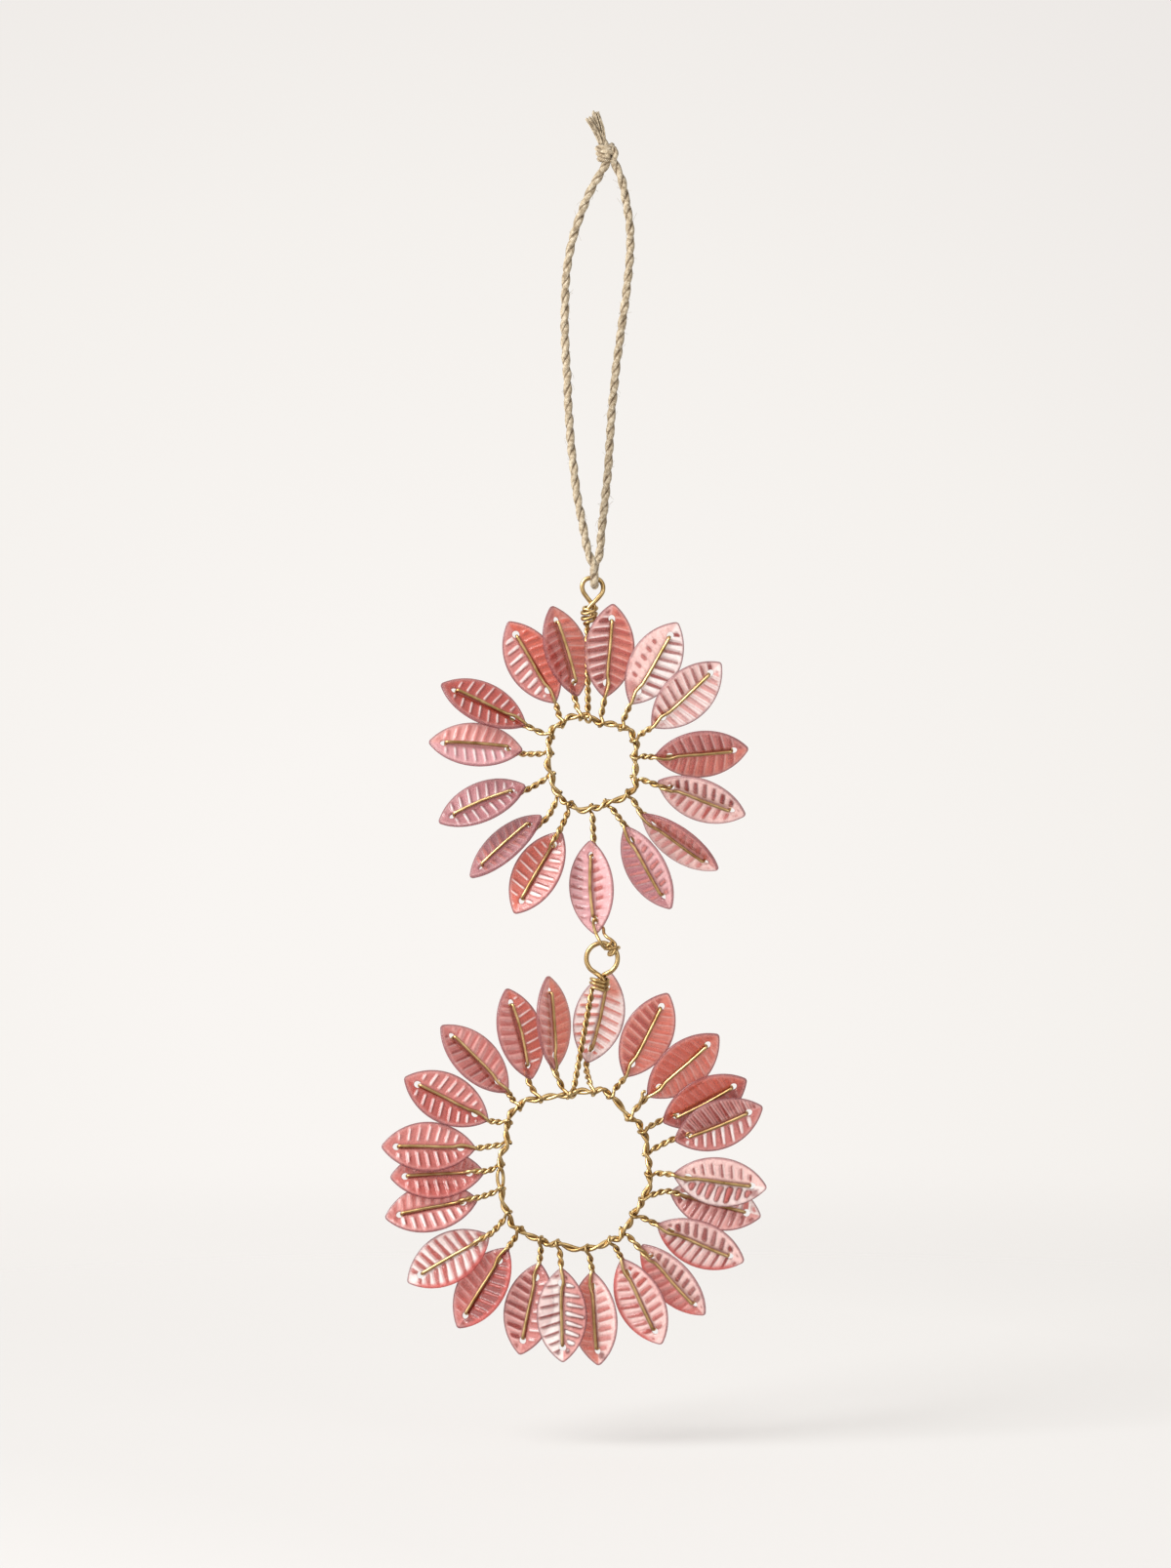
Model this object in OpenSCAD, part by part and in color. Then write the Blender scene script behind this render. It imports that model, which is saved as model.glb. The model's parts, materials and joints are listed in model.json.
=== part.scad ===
// Hanging folk ornament: two wreaths of ribbed leaf beads on twisted brass wire, hung one
// below the other from a knotted twine loop. Millimetres, +Z up, front towards -Y.
// The origin is the hang point, in the crotch of the twine loop just under its knot.

/* [Leaf beads] */
// Length of a leaf from tip to tip
leaf_l = 19.6; // [17:0.1:21]
// Width of a leaf across its middle
leaf_w = 10.4; // [9:0.1:11.2]
// Thickness of the pressed sheet
leaf_t = 0.8; // [0.6:0.05:1]
// Upward fold of each half from the midrib, degrees
leaf_fold = 8; // [4:1:12]
// Distance of each threading hole from its tip
hole_inset = 3.2; // [2.8:0.1:3.8]
// Veins on each half of a leaf
vein_count = 8; // [6:1:9]
// Width of a vein
vein_w = 0.8; // [0.6:0.05:1]
// Height of a vein above the leaf
vein_rise = 0.18; // [0.1:0.02:0.25]
// Sweep of the veins from square to the midrib, towards the stem, degrees
vein_sweep = 18; // [10:1:25]
// Plain rim around the veins
leaf_rim = 0.5; // [0.3:0.05:0.8]

/* [Brass wire] */
// Thickness of the thin wire of hoops, stems and wraps
wire_d = 0.6; // [0.5:0.02:0.64]
// Thickness of the wire of the top eye
eye_wire_d = 0.85; // [0.7:0.05:1]
// Thickness of the wire of the joining ring
ring_wire_d = 1; // [0.8:0.05:1.1]
// Length of one full turn of a twisted stem
stem_pitch = 5; // [4.4:0.1:6]
// Turns of twist around the upper hoop
upper_twist = 12; // [10:1:13]
// Turns of twist around the lower hoop
lower_twist = 18; // [15:1:19]
// Turns of each wire wrap
wrap_turns = 3; // [2:1:3]
// Distance between the turns of a wrap
wrap_pitch = 1.1; // [1.05:0.05:1.2]

/* [Wreaths] */
// Mean radius of the upper hoop
upper_hoop_r = 9.4; // [9:0.1:10.5]
// Mean radius of the lower hoop
lower_hoop_r = 16; // [15.4:0.1:17.5]

/* [Eye and ring] */
// Height of the eye from its top wire to its neck, between wire centres
eye_h = 5; // [4.6:0.1:5.6]
// Straight part of the eye's top wire, where the twine carries it
eye_flat = 2; // [1.8:0.1:2.4]
// Bend radius of the eye's shoulders
eye_bend = 1.05; // [1:0.05:1.3]
// Radius of the joining ring at the centre of its wire
ring_r = 3.2; // [3:0.1:3.6]
// Straight part of the ring, where the link wire carries it
ring_flat = 2.4; // [2:0.1:2.6]
// Place of that straight part around the ring, clockwise from the top, degrees
ring_flat_clock = 36; // [30:1:42]

/* [Hanging heights] */
// Drop from the hang point to the top wire of the eye
eye_drop = 84.9; // [84.5:0.1:86]
// Drop from the top wire of the eye to the middle of the upper hoop
upper_drop = 38.2; // [38:0.1:40]
// Drop from the bottom leaf's outer hole to the middle of the joining ring
link_drop = 8; // [7.8:0.1:9]
// Drop from the middle of the joining ring to the middle of the lower hoop
lower_drop = 43.4; // [43:0.1:45]

/* [Twine] */
// Thickness of the twine
cord_d = 1.8; // [1.6:0.1:1.9]
// Radius of the twine's bend through the eye
cord_bend = 3.6; // [3.6:0.1:4]

/* [Hidden] */
clear = 0.1;
wrap_clear = 0.18;
hole_clear = 0.3;
hole_d = wire_d + 2 * hole_clear;
link_hole_d = 2 * wire_d + 0.8;
twist_r = wire_d / 2 + 0.1;
twist_out = twist_r + wire_d / 2;
stem_lift = leaf_t / 2 + twist_out + 2 * clear;
wire_lift = leaf_t / 2 + wire_d / 2 + clear;
hole_y = leaf_l / 2 - hole_inset;
grip_out = twist_out + wire_d / 2 + clear;
wire_sides = 5;
wrap_sides = 6;
cord_sides = 8;
turn_rings = 6;
wrap_rings = 12;
hoop_rings = 5;
link_leaf = 9;

// One row per leaf, clockwise from the top as each was bent by hand:
// root on the hoop (clock degrees, mm outside the mean radius), leaf (clock degrees, mm of stem,
// lean and roll degrees, mm to the back) and the side the stem reaches it on (1 front, -1 back)
upper_rows = [
    [324, 1, 330, 5, 0, 4, 0.7, 1],
    [346, 0.9, 347, 4.6, -3, 32, 0, -1],
    [12, -0.5, 9, 4.4, -4, 12, -0.8, -1],
    [38, 0.6, 32, 5.2, -2, 8, -1.6, 1],
    [59, 1, 54, 5, -7, 16, -1.4, -1],
    [79, -0.1, 84, 3.6, 1, 25, 0, -1],
    [106, 0.1, 107, 4.5, 4, 36, 0, 1],
    [127, 0.5, 131, 5, -5, 52, 0, -1],
    [156, -0.7, 151, 5, 0, 40, 0, -1],
    [178, -0.3, 179, 6, -2, 30, 0, -1],
    [206, 0, 206, 5.5, 4, 25, 0, 1],
    [225, -0.2, 226, 5, 3, 54, 0, 1],
    [254, -0.9, 250, 4.5, -3, 40, 0, 1],
    [284, -0.5, 279, 4.7, -4, 32, 0, 1],
    [304, 0.8, 299, 6, -3, 38, 0, 1]];
lower_rows = [
    [353, -0.3, 351, 4.8, 5, 50, 0, 1],
    [12, 0.6, 9, 5.8, 5, 4, 3, -1],
    [25, 1.2, 28, 5.6, -1, 12, 0, 1],
    [45, -0.3, 46, 5.1, 3, 18, 0, -1],
    [59, 0.2, 62, 4.4, 1, 18, 0.8, -1],
    [76, -0.7, 72, 5.2, -3, 12, -0.5, 1],
    [92, -0.6, 94, 4, 4, 12, -1.6, 1],
    [111, -0.8, 104, 4, 1, -8, 2.2, 1],
    [126, -0.8, 120, 4, -7, 22, 0, 1],
    [141, 0, 138, 4.4, 0, 36, 0, 1],
    [152, 0.3, 153, 4.4, 2, 22, 0, 1],
    [170, 0.4, 172, 4.9, 4, 25, 0, 1],
    [192, -0.5, 185, 3.8, -6, 16, 0, 1],
    [205, 0, 198, 4.1, -6, 28, 0, 1],
    [222, 0.7, 218, 4.8, -6, 22, 0, 1],
    [236, 0.4, 235, 5.8, 5, 12, 0, 1],
    [255, -0.3, 255, 4.6, 4, 25, 0, 1],
    [273, -0.6, 268, 2.4, -1, 18, 0.6, 1],
    [291, -1, 279, 4.5, -8, 18, -0.6, 1],
    [305, 0.9, 299, 4.3, -2, 16, 0, 1],
    [318, 1.5, 318, 4.9, -3, 36, 0, 1],
    [333, 0.5, 339, 4.4, 7, 30, 0, 1]];

// Places in the frame, each a little to the side of what carries it
eye_side = -3.8;
upper_side = -0.3;
ring_side = 1.5;
lower_side = -5.6;
eye_at = [eye_side, 0, -eye_drop];
upper_hoop_at = eye_at + [upper_side, 0, -upper_drop];
link_hole_at = upper_hoop_at + on_leaf(upper_rows[link_leaf], upper_hoop_r, [0, hole_y, 0]);
ring_at = link_hole_at + [ring_side, 0, -link_drop];
lower_hoop_at = ring_at + [lower_side, 0, -lower_drop];

// The twine's two legs, from its knot down to the eye
left_leg = [[-0.9, 0, 0.4], [-0.9, 0, -0.6], [-4.2, -0.4, -5], [-6.6, -0.8, -11], [-8.4, -1.2, -18],
    [-9.2, -1.6, -24], [-9.4, -2, -30], [-9.4, -2.4, -36], [-9, -2.8, -43], [-8.6, -3.1, -52],
    [-7.8, -3.4, -61], [-6.8, -3.6, -69], [-5.6, -3.6, -75], [-4.4, -3.6, -80]];
right_leg = [[0.9, 0, 0.4], [0.9, 0, -0.6], [2.2, 0.4, -3.5], [3.2, 0.8, -8], [4, 1.2, -14],
    [3.8, 1.6, -20], [3.2, 2, -26], [2.4, 2.4, -32], [1.4, 2.8, -39], [0.6, 3.1, -46],
    [0, 3.3, -53], [-0.4, 3.5, -60], [-1, 3.6, -67], [-2, 3.6, -74], [-3.2, 3.6, -80]];

function name_list(prefix, count) =
    [for (i = [1:count]) str(prefix, i < 10 ? "0" : "", i)];

upper_names = name_list("upper_leaf_", len(upper_rows));
lower_names = name_list("lower_leaf_", len(lower_rows));

// Vectors and smooth routes
function unit(v) = v / norm(v);
function mix(a, b, u) = a * (1 - u) + b * u;
function square_to(v, t) = unit(v - t * (v * t));
function polar(clock, r) = [r * sin(clock), 0, r * cos(clock)];
function curve(a, b, c, d, u) =
    0.5 * (2 * b + (c - a) * u + (2 * a - 5 * b + 4 * c - d) * u * u
        + (3 * b - a - 3 * c + d) * u * u * u);
function route_point(p, i, u) =
    curve(p[max(i - 1, 0)], p[i], p[i + 1], p[min(i + 2, len(p) - 1)], u);
function smooth_route(p, steps) =
    concat([for (i = [0:len(p) - 2]) each [for (k = [0:steps - 1]) route_point(p, i, k / steps)]],
        [p[len(p) - 1]]);
function reversed(p) = [for (i = [len(p) - 1:-1:0]) p[i]];
function sum_to(v, n) = n < 1 ? 0 : v[n - 1] + sum_to(v, n - 1);

// Round wire swept along a route
function heading(p, i, closed) =
    let (n = len(p), before = closed ? (i + n - 1) % n : max(i - 1, 0),
        after = closed ? (i + 1) % n : min(i + 1, n - 1))
    unit(unit(p[after] - p[i] + (after == i ? p[i] - p[before] : [0, 0, 0]))
        + unit(p[i] - p[before] + (before == i ? p[after] - p[i] : [0, 0, 0])));
function carried(p) =
    let (t0 = heading(p, 0, false))
    [for (i = 0, v = square_to(abs(t0[1]) < 0.8 ? [0, 1, 0] : [0, 0, 1], t0); i < len(p);
        i = i + 1, v = i < len(p) ? square_to(v, heading(p, i, false)) : v) v];
function steady(p) = [for (i = [0:len(p) - 1]) square_to([0, 1, 0], heading(p, i, true))];
function wire_points(p, d, sides, closed) =
    let (up = closed ? steady(p) : carried(p))
    [for (i = [0:len(p) - 1])
        let (t = heading(p, i, closed), across = cross(t, up[i]))
        for (k = [0:sides - 1])
            p[i] + d / 2 * (up[i] * cos(360 * k / sides) + across * sin(360 * k / sides))];
function wall_faces(n, sides, closed, first) =
    [for (i = [0:closed ? n - 1 : n - 2])
        for (k = [0:sides - 1])
            let (a = first + i * sides, b = first + (i + 1) % n * sides, m = (k + 1) % sides)
            each [[a + k, b + k, b + m], [a + k, b + m, a + m]]];
function end_faces(n, sides, first) =
    [for (k = [1:sides - 2])
        let (z = first + (n - 1) * sides)
        each [[first, first + k, first + k + 1], [z, z + k + 1, z + k]]];
module wires(routes, d, sides, closed = false) {
    sizes = [for (p = routes) len(p) * sides];
    polyhedron(
        points = [for (p = routes) each wire_points(p, d, sides, closed)],
        faces = [for (i = [0:len(routes) - 1])
            let (n = len(routes[i]), first = sum_to(sizes, i))
            each concat(wall_faces(n, sides, closed, first), closed ? [] : end_faces(n, sides, first))],
        convexity = 10);
}

// Bent wire in the plane of the ornament: straight rods run a little into the bends, which are drawn
// slightly thinner
lap = 0.1;
bend_thinning = 0.03;
module arc(r, d, from, to) {
    rotate([90, 0, 0]) rotate([0, 0, 90 - to]) rotate_extrude(angle = to - from, $fn = 48)
        translate([r, 0]) circle(d = d - bend_thinning, $fn = 24);
}
module rod(p, q, d) {
    v = q - p;
    translate(p) rotate([0, acos(v[2] / norm(v)), atan2(v[1], v[0])])
        translate([0, 0, -lap]) cylinder(d = d, h = norm(v) + 2 * lap, $fn = 24);
}
function tangent_clock(r, p) = (atan2(p[0], p[2]) - acos(r / norm(p)) + 360) % 360;

// A leaf's own axes: side, length, front
function leaf_side(row) =
    let (t = row[2] + row[4], roll = row[5])
    [cos(t) * cos(roll), sin(roll), -sin(t) * cos(roll)];
function leaf_axis(row) = polar(row[2] + row[4], 1);
function leaf_front(row) = cross(leaf_side(row), leaf_axis(row));
function leaf_middle(row, hoop_r) = polar(row[2], hoop_r + row[3] + leaf_l / 2) + [0, row[6], 0];
function on_leaf(row, hoop_r, p) =
    leaf_middle(row, hoop_r) + leaf_side(row) * p[0] + leaf_axis(row) * p[1] + leaf_front(row) * p[2];

// One leaf bead, flat in its own axes with its front up
module almond(l, w, t) {
    r = (l * l + w * w) / (4 * w);
    intersection() {
        translate([r - w / 2, 0, -t]) cylinder(r = r, h = 2 * t, $fn = 96);
        translate([w / 2 - r, 0, -t]) cylinder(r = r, h = 2 * t, $fn = 96);
    }
}
module folded_sheet() {
    reach = leaf_w;
    rise = reach * tan(leaf_fold);
    half = leaf_t / 2;
    rotate([90, 0, 0]) linear_extrude(2 * leaf_l, center = true)
        polygon([[0, half], [-reach, rise + half], [-reach, rise - half], [0, -half],
            [reach, rise - half], [reach, rise + half]]);
}
module veins() {
    pitch = (leaf_l - 2 * leaf_rim) / (vein_count + 0.5);
    for (side = [0, 1])
        mirror([side, 0, 0]) rotate([0, -leaf_fold, 0])
            for (i = [1:vein_count])
                translate([vein_w, leaf_l / 2 - leaf_rim - (i - 0.25) * pitch,
                    leaf_t / 2 + vein_rise - vein_w / 2])
                    rotate([-90, 0, -90 - vein_sweep]) cylinder(d = vein_w, h = leaf_w, $fn = 24);
}
module leaf_bead(outer_hole_d) {
    tall = leaf_w * tan(leaf_fold) + leaf_t;
    difference() {
        union() {
            intersection() {
                folded_sheet();
                almond(leaf_l, leaf_w, tall);
            }
            intersection() {
                veins();
                almond(leaf_l - 2 * leaf_rim, leaf_w - 2 * leaf_rim, tall);
            }
        }
        translate([0, hole_y, -tall]) cylinder(d = outer_hole_d, h = 2 * tall, $fn = 24);
        translate([0, -hole_y, -tall]) cylinder(d = hole_d, h = 2 * tall, $fn = 24);
    }
}
module placed_leaf(row, hoop_r, hoop_at, outer_hole_d) {
    s = leaf_side(row);
    a = leaf_axis(row);
    f = leaf_front(row);
    c = hoop_at + leaf_middle(row, hoop_r);
    multmatrix([[s[0], a[0], f[0], c[0]], [s[1], a[1], f[1], c[1]], [s[2], a[2], f[2], c[2]]])
        leaf_bead(outer_hole_d);
}

// Hoop: a closed wavy route through the roots of the leaves, of two strands twisted together
function root(row, hoop_r) = polar(row[0], hoop_r + row[1]);
function hoop_point(rows, hoop_r, at) =
    let (n = len(rows), i = floor(at))
    curve(root(rows[(i + n - 1) % n], hoop_r), root(rows[i % n], hoop_r),
        root(rows[(i + 1) % n], hoop_r), root(rows[(i + 2) % n], hoop_r), at - i);
function hoop_strand(rows, hoop_r, turns, phase) =
    let (n = len(rows) * hoop_rings)
    [for (i = [0:n - 1])
        let (at = i / hoop_rings, p = hoop_point(rows, hoop_r, at), turn = phase + 360 * turns * i / n)
        p + twist_r * (unit(p) * cos(turn) + [0, 1, 0] * sin(turn))];
module hoop(rows, hoop_r, turns) {
    wires([for (phase = [0, 180]) hoop_strand(rows, hoop_r, turns, phase)], wire_d, wire_sides, true);
}

// Twisted pair from a hoop root along a stem: both strands grip the hoop, one behind and one in front
grip_l = 1.7;
grip_end = 0.7;
grip_start = 0.35;
function route_l(p) = len(p) < 2 ? 0 : norm(p[1] - p[0]) + route_l([for (i = [1:len(p) - 1]) p[i]]);
function stem_turns(axis) = max(2, round(2 * route_l(axis) / stem_pitch)) / 2;
function flat(v) = unit([v[0], 0, v[2]]);
function stem_strand(root_at, axis, front, side) =
    let (out = flat(axis[0] - root_at), turns = stem_turns(axis), n = turns * turn_rings,
        back = (round(2 * turns) % 2 == 0 ? 1 : -1) * side)
    concat(
        [for (at = [-grip_end, grip_start]) root_at + out * at - [0, back * grip_out, 0]],
        [for (i = [0:n])
            let (u = i / n, at = u * (len(axis) - 1), k = min(floor(at), len(axis) - 2),
                p = mix(axis[k], axis[k + 1], at - k), along = unit(axis[k + 1] - axis[k]),
                e = square_to(mix([0, -1, 0], front, u), along), turn = 360 * turns * (1 - u))
            p + twist_r * side * (e * cos(turn) + cross(along, e) * sin(turn))]);

// Each leaf's wire: from the hoop up the stem, through both holes and along the midrib, and back
stem_before_tip = 0.6;
stem_before_hole = 0.9;
hole_turn = 0.7;
hole_ease = 0.1;
function leaf_wire(row, hoop_r, out_y) =
    let (k = row[7], start = root(row, hoop_r),
        tip = on_leaf(row, hoop_r, [0, -leaf_l / 2 - stem_before_tip, k * stem_lift]),
        end = on_leaf(row, hoop_r, [0, -hole_y - stem_before_hole, k * stem_lift]),
        axis = [start + flat(tip - start) * grip_l, tip, end],
        bend = wire_lift - clear,
        run = [[-hole_y + 2 * hole_ease, stem_lift + twist_r], [-hole_y + 2 * hole_turn, wire_lift],
            [out_y - hole_turn, wire_lift], [out_y - hole_ease, bend], [out_y, 0], [out_y - hole_ease, -bend],
            [out_y - hole_turn, -wire_lift], [-hole_y + hole_turn, -wire_lift], [-hole_y + hole_ease, -bend],
            [-hole_y, 0], [-hole_y - hole_ease, bend]])
    concat(stem_strand(start, axis, leaf_front(row), k),
        [for (q = run) on_leaf(row, hoop_r, [0, q[0], k * q[1]])],
        reversed(stem_strand(start, axis, leaf_front(row), -k)));
module leaf_wires(rows, hoop_r, link_row) {
    wires([for (i = [0:len(rows) - 1])
        leaf_wire(rows[i], hoop_r, i == link_row ? hole_y - link_shift : hole_y)], wire_d, wire_sides);
}

// Eye and ring necks: two straight wire ends side by side, bound by a wrap
function neck_x(d) = d / 2 + clear / 2;
neck_end = 0.3;
neck_l = wrap_turns * wrap_pitch + 3 * neck_end;
module neck(drop, d) {
    for (side = [-1, 1])
        rod([side * neck_x(d), 0, -drop], [side * neck_x(d), 0, -drop - neck_l], d - 2 * bend_thinning);
}
module eye() {
    turn = tangent_clock(eye_bend, [neck_x(eye_wire_d) - eye_flat / 2, 0, eye_bend - eye_h]);
    rod([-eye_flat / 2, 0, 0], [eye_flat / 2, 0, 0], eye_wire_d);
    for (side = [0, 1])
        mirror([side, 0, 0]) {
            translate([eye_flat / 2, 0, -eye_bend]) arc(eye_bend, eye_wire_d, 0, turn);
            rod([eye_flat / 2, 0, -eye_bend] + polar(turn, eye_bend), [neck_x(eye_wire_d), 0, -eye_h],
                eye_wire_d);
        }
    neck(eye_h, eye_wire_d);
}
ring_drop = ring_r + 0.7;
module ring() {
    half = asin(ring_flat / 2 / ring_r);
    turn = tangent_clock(ring_r, [neck_x(ring_wire_d), 0, -ring_drop]);
    rod(polar(ring_flat_clock - half, ring_r), polar(ring_flat_clock + half, ring_r), ring_wire_d);
    arc(ring_r, ring_wire_d, ring_flat_clock + half, turn);
    arc(ring_r, ring_wire_d, -turn, ring_flat_clock - half);
    for (side = [0, 1])
        mirror([side, 0, 0])
            rod(polar(turn, ring_r), [neck_x(ring_wire_d), 0, -ring_drop], ring_wire_d);
    neck(ring_drop, ring_wire_d);
}

// Hanger wire: a twisted pair from the hoop, one strand of which is wound around the neck
wrap_run = 1.8;
function wrap_half_x(d) = neck_x(d) + (d + wire_d) / 2 + wrap_clear;
function wrap_route(foot, d, from) =
    let (x = wrap_half_x(d), y = (d + wire_d) / 2 + wrap_clear)
    [for (i = [0:wrap_turns * wrap_rings])
        let (turn = from + 360 * i / wrap_rings)
        foot + [x * cos(turn), y * sin(turn), wrap_pitch * i / wrap_rings]];
function least_gap(p, d, apart) =
    min([for (i = [0:len(p) - 1 - apart]) for (j = [i + apart:len(p) - 1]) norm(p[i] - p[j])]) - d;
function hanger_wires(start, neck_at, d, from) =
    let (foot = neck_at - [0, 0, neck_l - neck_end],
        top = foot + [0.6 * wrap_half_x(d) * cos(from), 0, -wrap_run],
        axis = [start + flat(top - start) * grip_l, top])
    [concat(stem_strand(start, axis, [0, -1, 0], 1), wrap_route(foot, d, from)),
        stem_strand(start, axis, [0, -1, 0], -1)];

// Link wire: wound around the straight part of the ring, then looped through the bottom leaf
link_shift = wire_d / 2 + 0.15;
link_clear = 0.35;
link_gap = 0.5;
link_turns = 2.75;
link_reach = 1.6;
link_bow = 1.3;
function link_route() =
    let (row = upper_rows[link_leaf], f = leaf_front(row) * link_reach,
        hole = link_hole_at + leaf_axis(row) * link_shift,
        r = ring_wire_d / 2 + link_clear + wire_d / 2,
        out = polar(ring_flat_clock, 1), along = polar(ring_flat_clock + 90, 1),
        middle = ring_at + out * sqrt(ring_r * ring_r - ring_flat * ring_flat / 4),
        n = link_turns * wrap_rings,
        wound = [for (i = [0:n])
            let (turn = 180 + 360 * i / wrap_rings)
            middle + along * wrap_pitch * link_turns * (0.5 - i / n)
                + r * (out * sin(turn) - [0, 1, 0] * cos(turn))],
        front = hole + f - [0, 0, 1], back = hole - f - [0, 0, 1],
        end = middle + out * (r + wire_d + link_gap) + along * 0.6 + [0, 0.6, 0])
    concat(wound,
        [mix(wound[n] + out, front, 0.3) - [0, link_bow, 0], front, hole + f * 0.6, hole, hole - f * 0.6,
            back, mix(back, end, 0.6) + [0, 0.5, 0.3], end]);

// Twine
cord_foot = eye_at - [0, 0, eye_wire_d / 2 + clear + cord_d / 2 - cord_bend];
bight = [for (turn = [180:22.5:360]) cord_foot + cord_bend * [0, cos(turn), sin(turn)]];
function leg_route(leg) =
    concat([leg[0]], smooth_route([for (i = [1:len(leg) - 1]) leg[i]], 2));
cord_route = concat(leg_route(left_leg), bight, reversed(leg_route(right_leg)));
knot_at = [-0.9, 0, 0.4];
knot_h = 4;
knot_r = 2;
tails = [for (side = [-1, 1])
    let (start = knot_at + [side * 0.55 * cord_d, 0, knot_h])
    [start, start + [0, 0, 0.7], start + [-0.7 + 0.1 * side, 0, 2.2],
        start + [-2.2 + 0.4 * side, 0, 5.2 + 0.6 * side]]];

module hanging_cord() {
    color("tan") wires([cord_route], cord_d, cord_sides);
}
module cord_knot() {
    color("tan") translate(knot_at) intersection() {
        union() {
            cylinder(r = knot_r, h = knot_h, $fn = 32);
            for (i = [0:2])
                translate([0, 0, knot_h * (i + 0.5) / 3]) rotate([0, 14, 0])
                    rotate_extrude($fn = 48) translate([knot_r - 0.35, 0]) circle(d = cord_d - 0.2, $fn = 24);
        }
        cylinder(r = 2 * knot_r, h = knot_h, $fn = 32);
    }
}
module cord_tails() {
    color("tan") wires(tails, cord_d, cord_sides);
}
module upper_eye() {
    color("goldenrod") translate(eye_at) eye();
}
module upper_hanger_wire() {
    color("goldenrod") wires(upper_hanger, wire_d, wire_sides);
}
module upper_hoop() {
    color("goldenrod") translate(upper_hoop_at) hoop(upper_rows, upper_hoop_r, upper_twist);
}
module upper_leaf_wires() {
    color("goldenrod") translate(upper_hoop_at) leaf_wires(upper_rows, upper_hoop_r, link_leaf);
}
module link_wire() {
    color("goldenrod") wires([link_path], wire_d, wrap_sides);
}
module lower_ring() {
    color("goldenrod") translate(ring_at) ring();
}
module lower_hanger_wire() {
    color("goldenrod") wires(lower_hanger, wire_d, wire_sides);
}
module lower_hoop() {
    color("goldenrod") translate(lower_hoop_at) hoop(lower_rows, lower_hoop_r, lower_twist);
}
module lower_leaf_wires() {
    color("goldenrod") translate(lower_hoop_at) leaf_wires(lower_rows, lower_hoop_r, -1);
}
module upper_leaf(i) {
    color("indianred")
        placed_leaf(upper_rows[i], upper_hoop_r, upper_hoop_at, i == link_leaf ? link_hole_d : hole_d);
}
module lower_leaf(i) {
    color("indianred") placed_leaf(lower_rows[i], lower_hoop_r, lower_hoop_at, hole_d);
}

upper_hanger_step = 1.45;
lower_hanger_step = 0.45;
upper_hanger = hanger_wires(upper_hoop_at + hoop_point(upper_rows, upper_hoop_r, upper_hanger_step),
    eye_at - [0, 0, eye_h], eye_wire_d, 270);
lower_hanger = hanger_wires(lower_hoop_at + hoop_point(lower_rows, lower_hoop_r, lower_hanger_step),
    ring_at - [0, 0, ring_drop], ring_wire_d, 180);
link_path = link_route();
echo("Least gap of each wound wire to itself",
    [for (p = [upper_hanger[0], lower_hanger[0], link_path]) least_gap(p, wire_d, wrap_rings - 3)]);

hanging_cord();
cord_knot();
cord_tails();
upper_eye();
upper_hanger_wire();
upper_hoop();
upper_leaf_wires();
link_wire();
lower_ring();
lower_hanger_wire();
lower_hoop();
lower_leaf_wires();
for (i = [0:len(upper_rows) - 1])
    upper_leaf(i);
for (i = [0:len(lower_rows) - 1])
    lower_leaf(i);
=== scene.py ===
import json
import math
import random
from collections import namedtuple

import bpy
import numpy as np
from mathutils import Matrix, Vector
from mathutils.geometry import delaunay_2d_cdt


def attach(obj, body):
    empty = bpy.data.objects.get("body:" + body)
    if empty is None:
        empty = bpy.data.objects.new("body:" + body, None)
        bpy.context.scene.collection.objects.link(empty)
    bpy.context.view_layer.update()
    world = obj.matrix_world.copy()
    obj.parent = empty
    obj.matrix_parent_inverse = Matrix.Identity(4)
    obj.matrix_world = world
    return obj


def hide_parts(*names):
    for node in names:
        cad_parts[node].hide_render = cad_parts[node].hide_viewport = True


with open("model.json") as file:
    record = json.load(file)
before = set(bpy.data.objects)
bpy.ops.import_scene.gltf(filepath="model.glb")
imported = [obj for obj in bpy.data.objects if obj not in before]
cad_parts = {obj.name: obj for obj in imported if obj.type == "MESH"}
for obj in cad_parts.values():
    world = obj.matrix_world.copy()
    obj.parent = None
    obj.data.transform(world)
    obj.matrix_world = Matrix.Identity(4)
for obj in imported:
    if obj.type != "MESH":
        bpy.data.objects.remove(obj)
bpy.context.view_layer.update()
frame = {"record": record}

# Sizes and places are in millimetres, in the part's frame, and meshes are made in metres
MM = 0.001
FRONT = np.array([0.0, -1.0, 0.0])
UP = np.array([0.0, 0.0, 1.0])
# A tube that starts more towards the front than this takes its first side from UP
HEAD_ON = 0.8

# Camera and floor
PIXEL = 0.2
PICTURE = (1200, 1607)
HANG_PIXEL = (626, 168)
LENS = 100
SENSOR = 36
FLOOR_Z = -264
FLOOR_R = 700
FLOOR_SIDES = 64
# The shadow on the floor: how strongly it shows, and where it starts to fade out
SHADOW_SHOWN = 0.45
SHADOW_FADE = 150
# The floor's linear tones by distance from the foot of the key lamp, to even out its light
FLOOR_REACH = (720, 1020)
FLOOR_TONES = [(0, (0.645, 0.629, 0.617, 1)), (1, (0.883, 0.859, 0.842, 1))]
# Backdrop tones, sRGB, by their distance from its palest direction
BACKDROP = [(249, 245.5, 242), (244.5, 241, 237), (236, 232, 229)]
BACKDROP_TOWARD = (-0.04, 1.0, -0.04)
BACKDROP_REACH = (0.05, 0.29)
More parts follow.
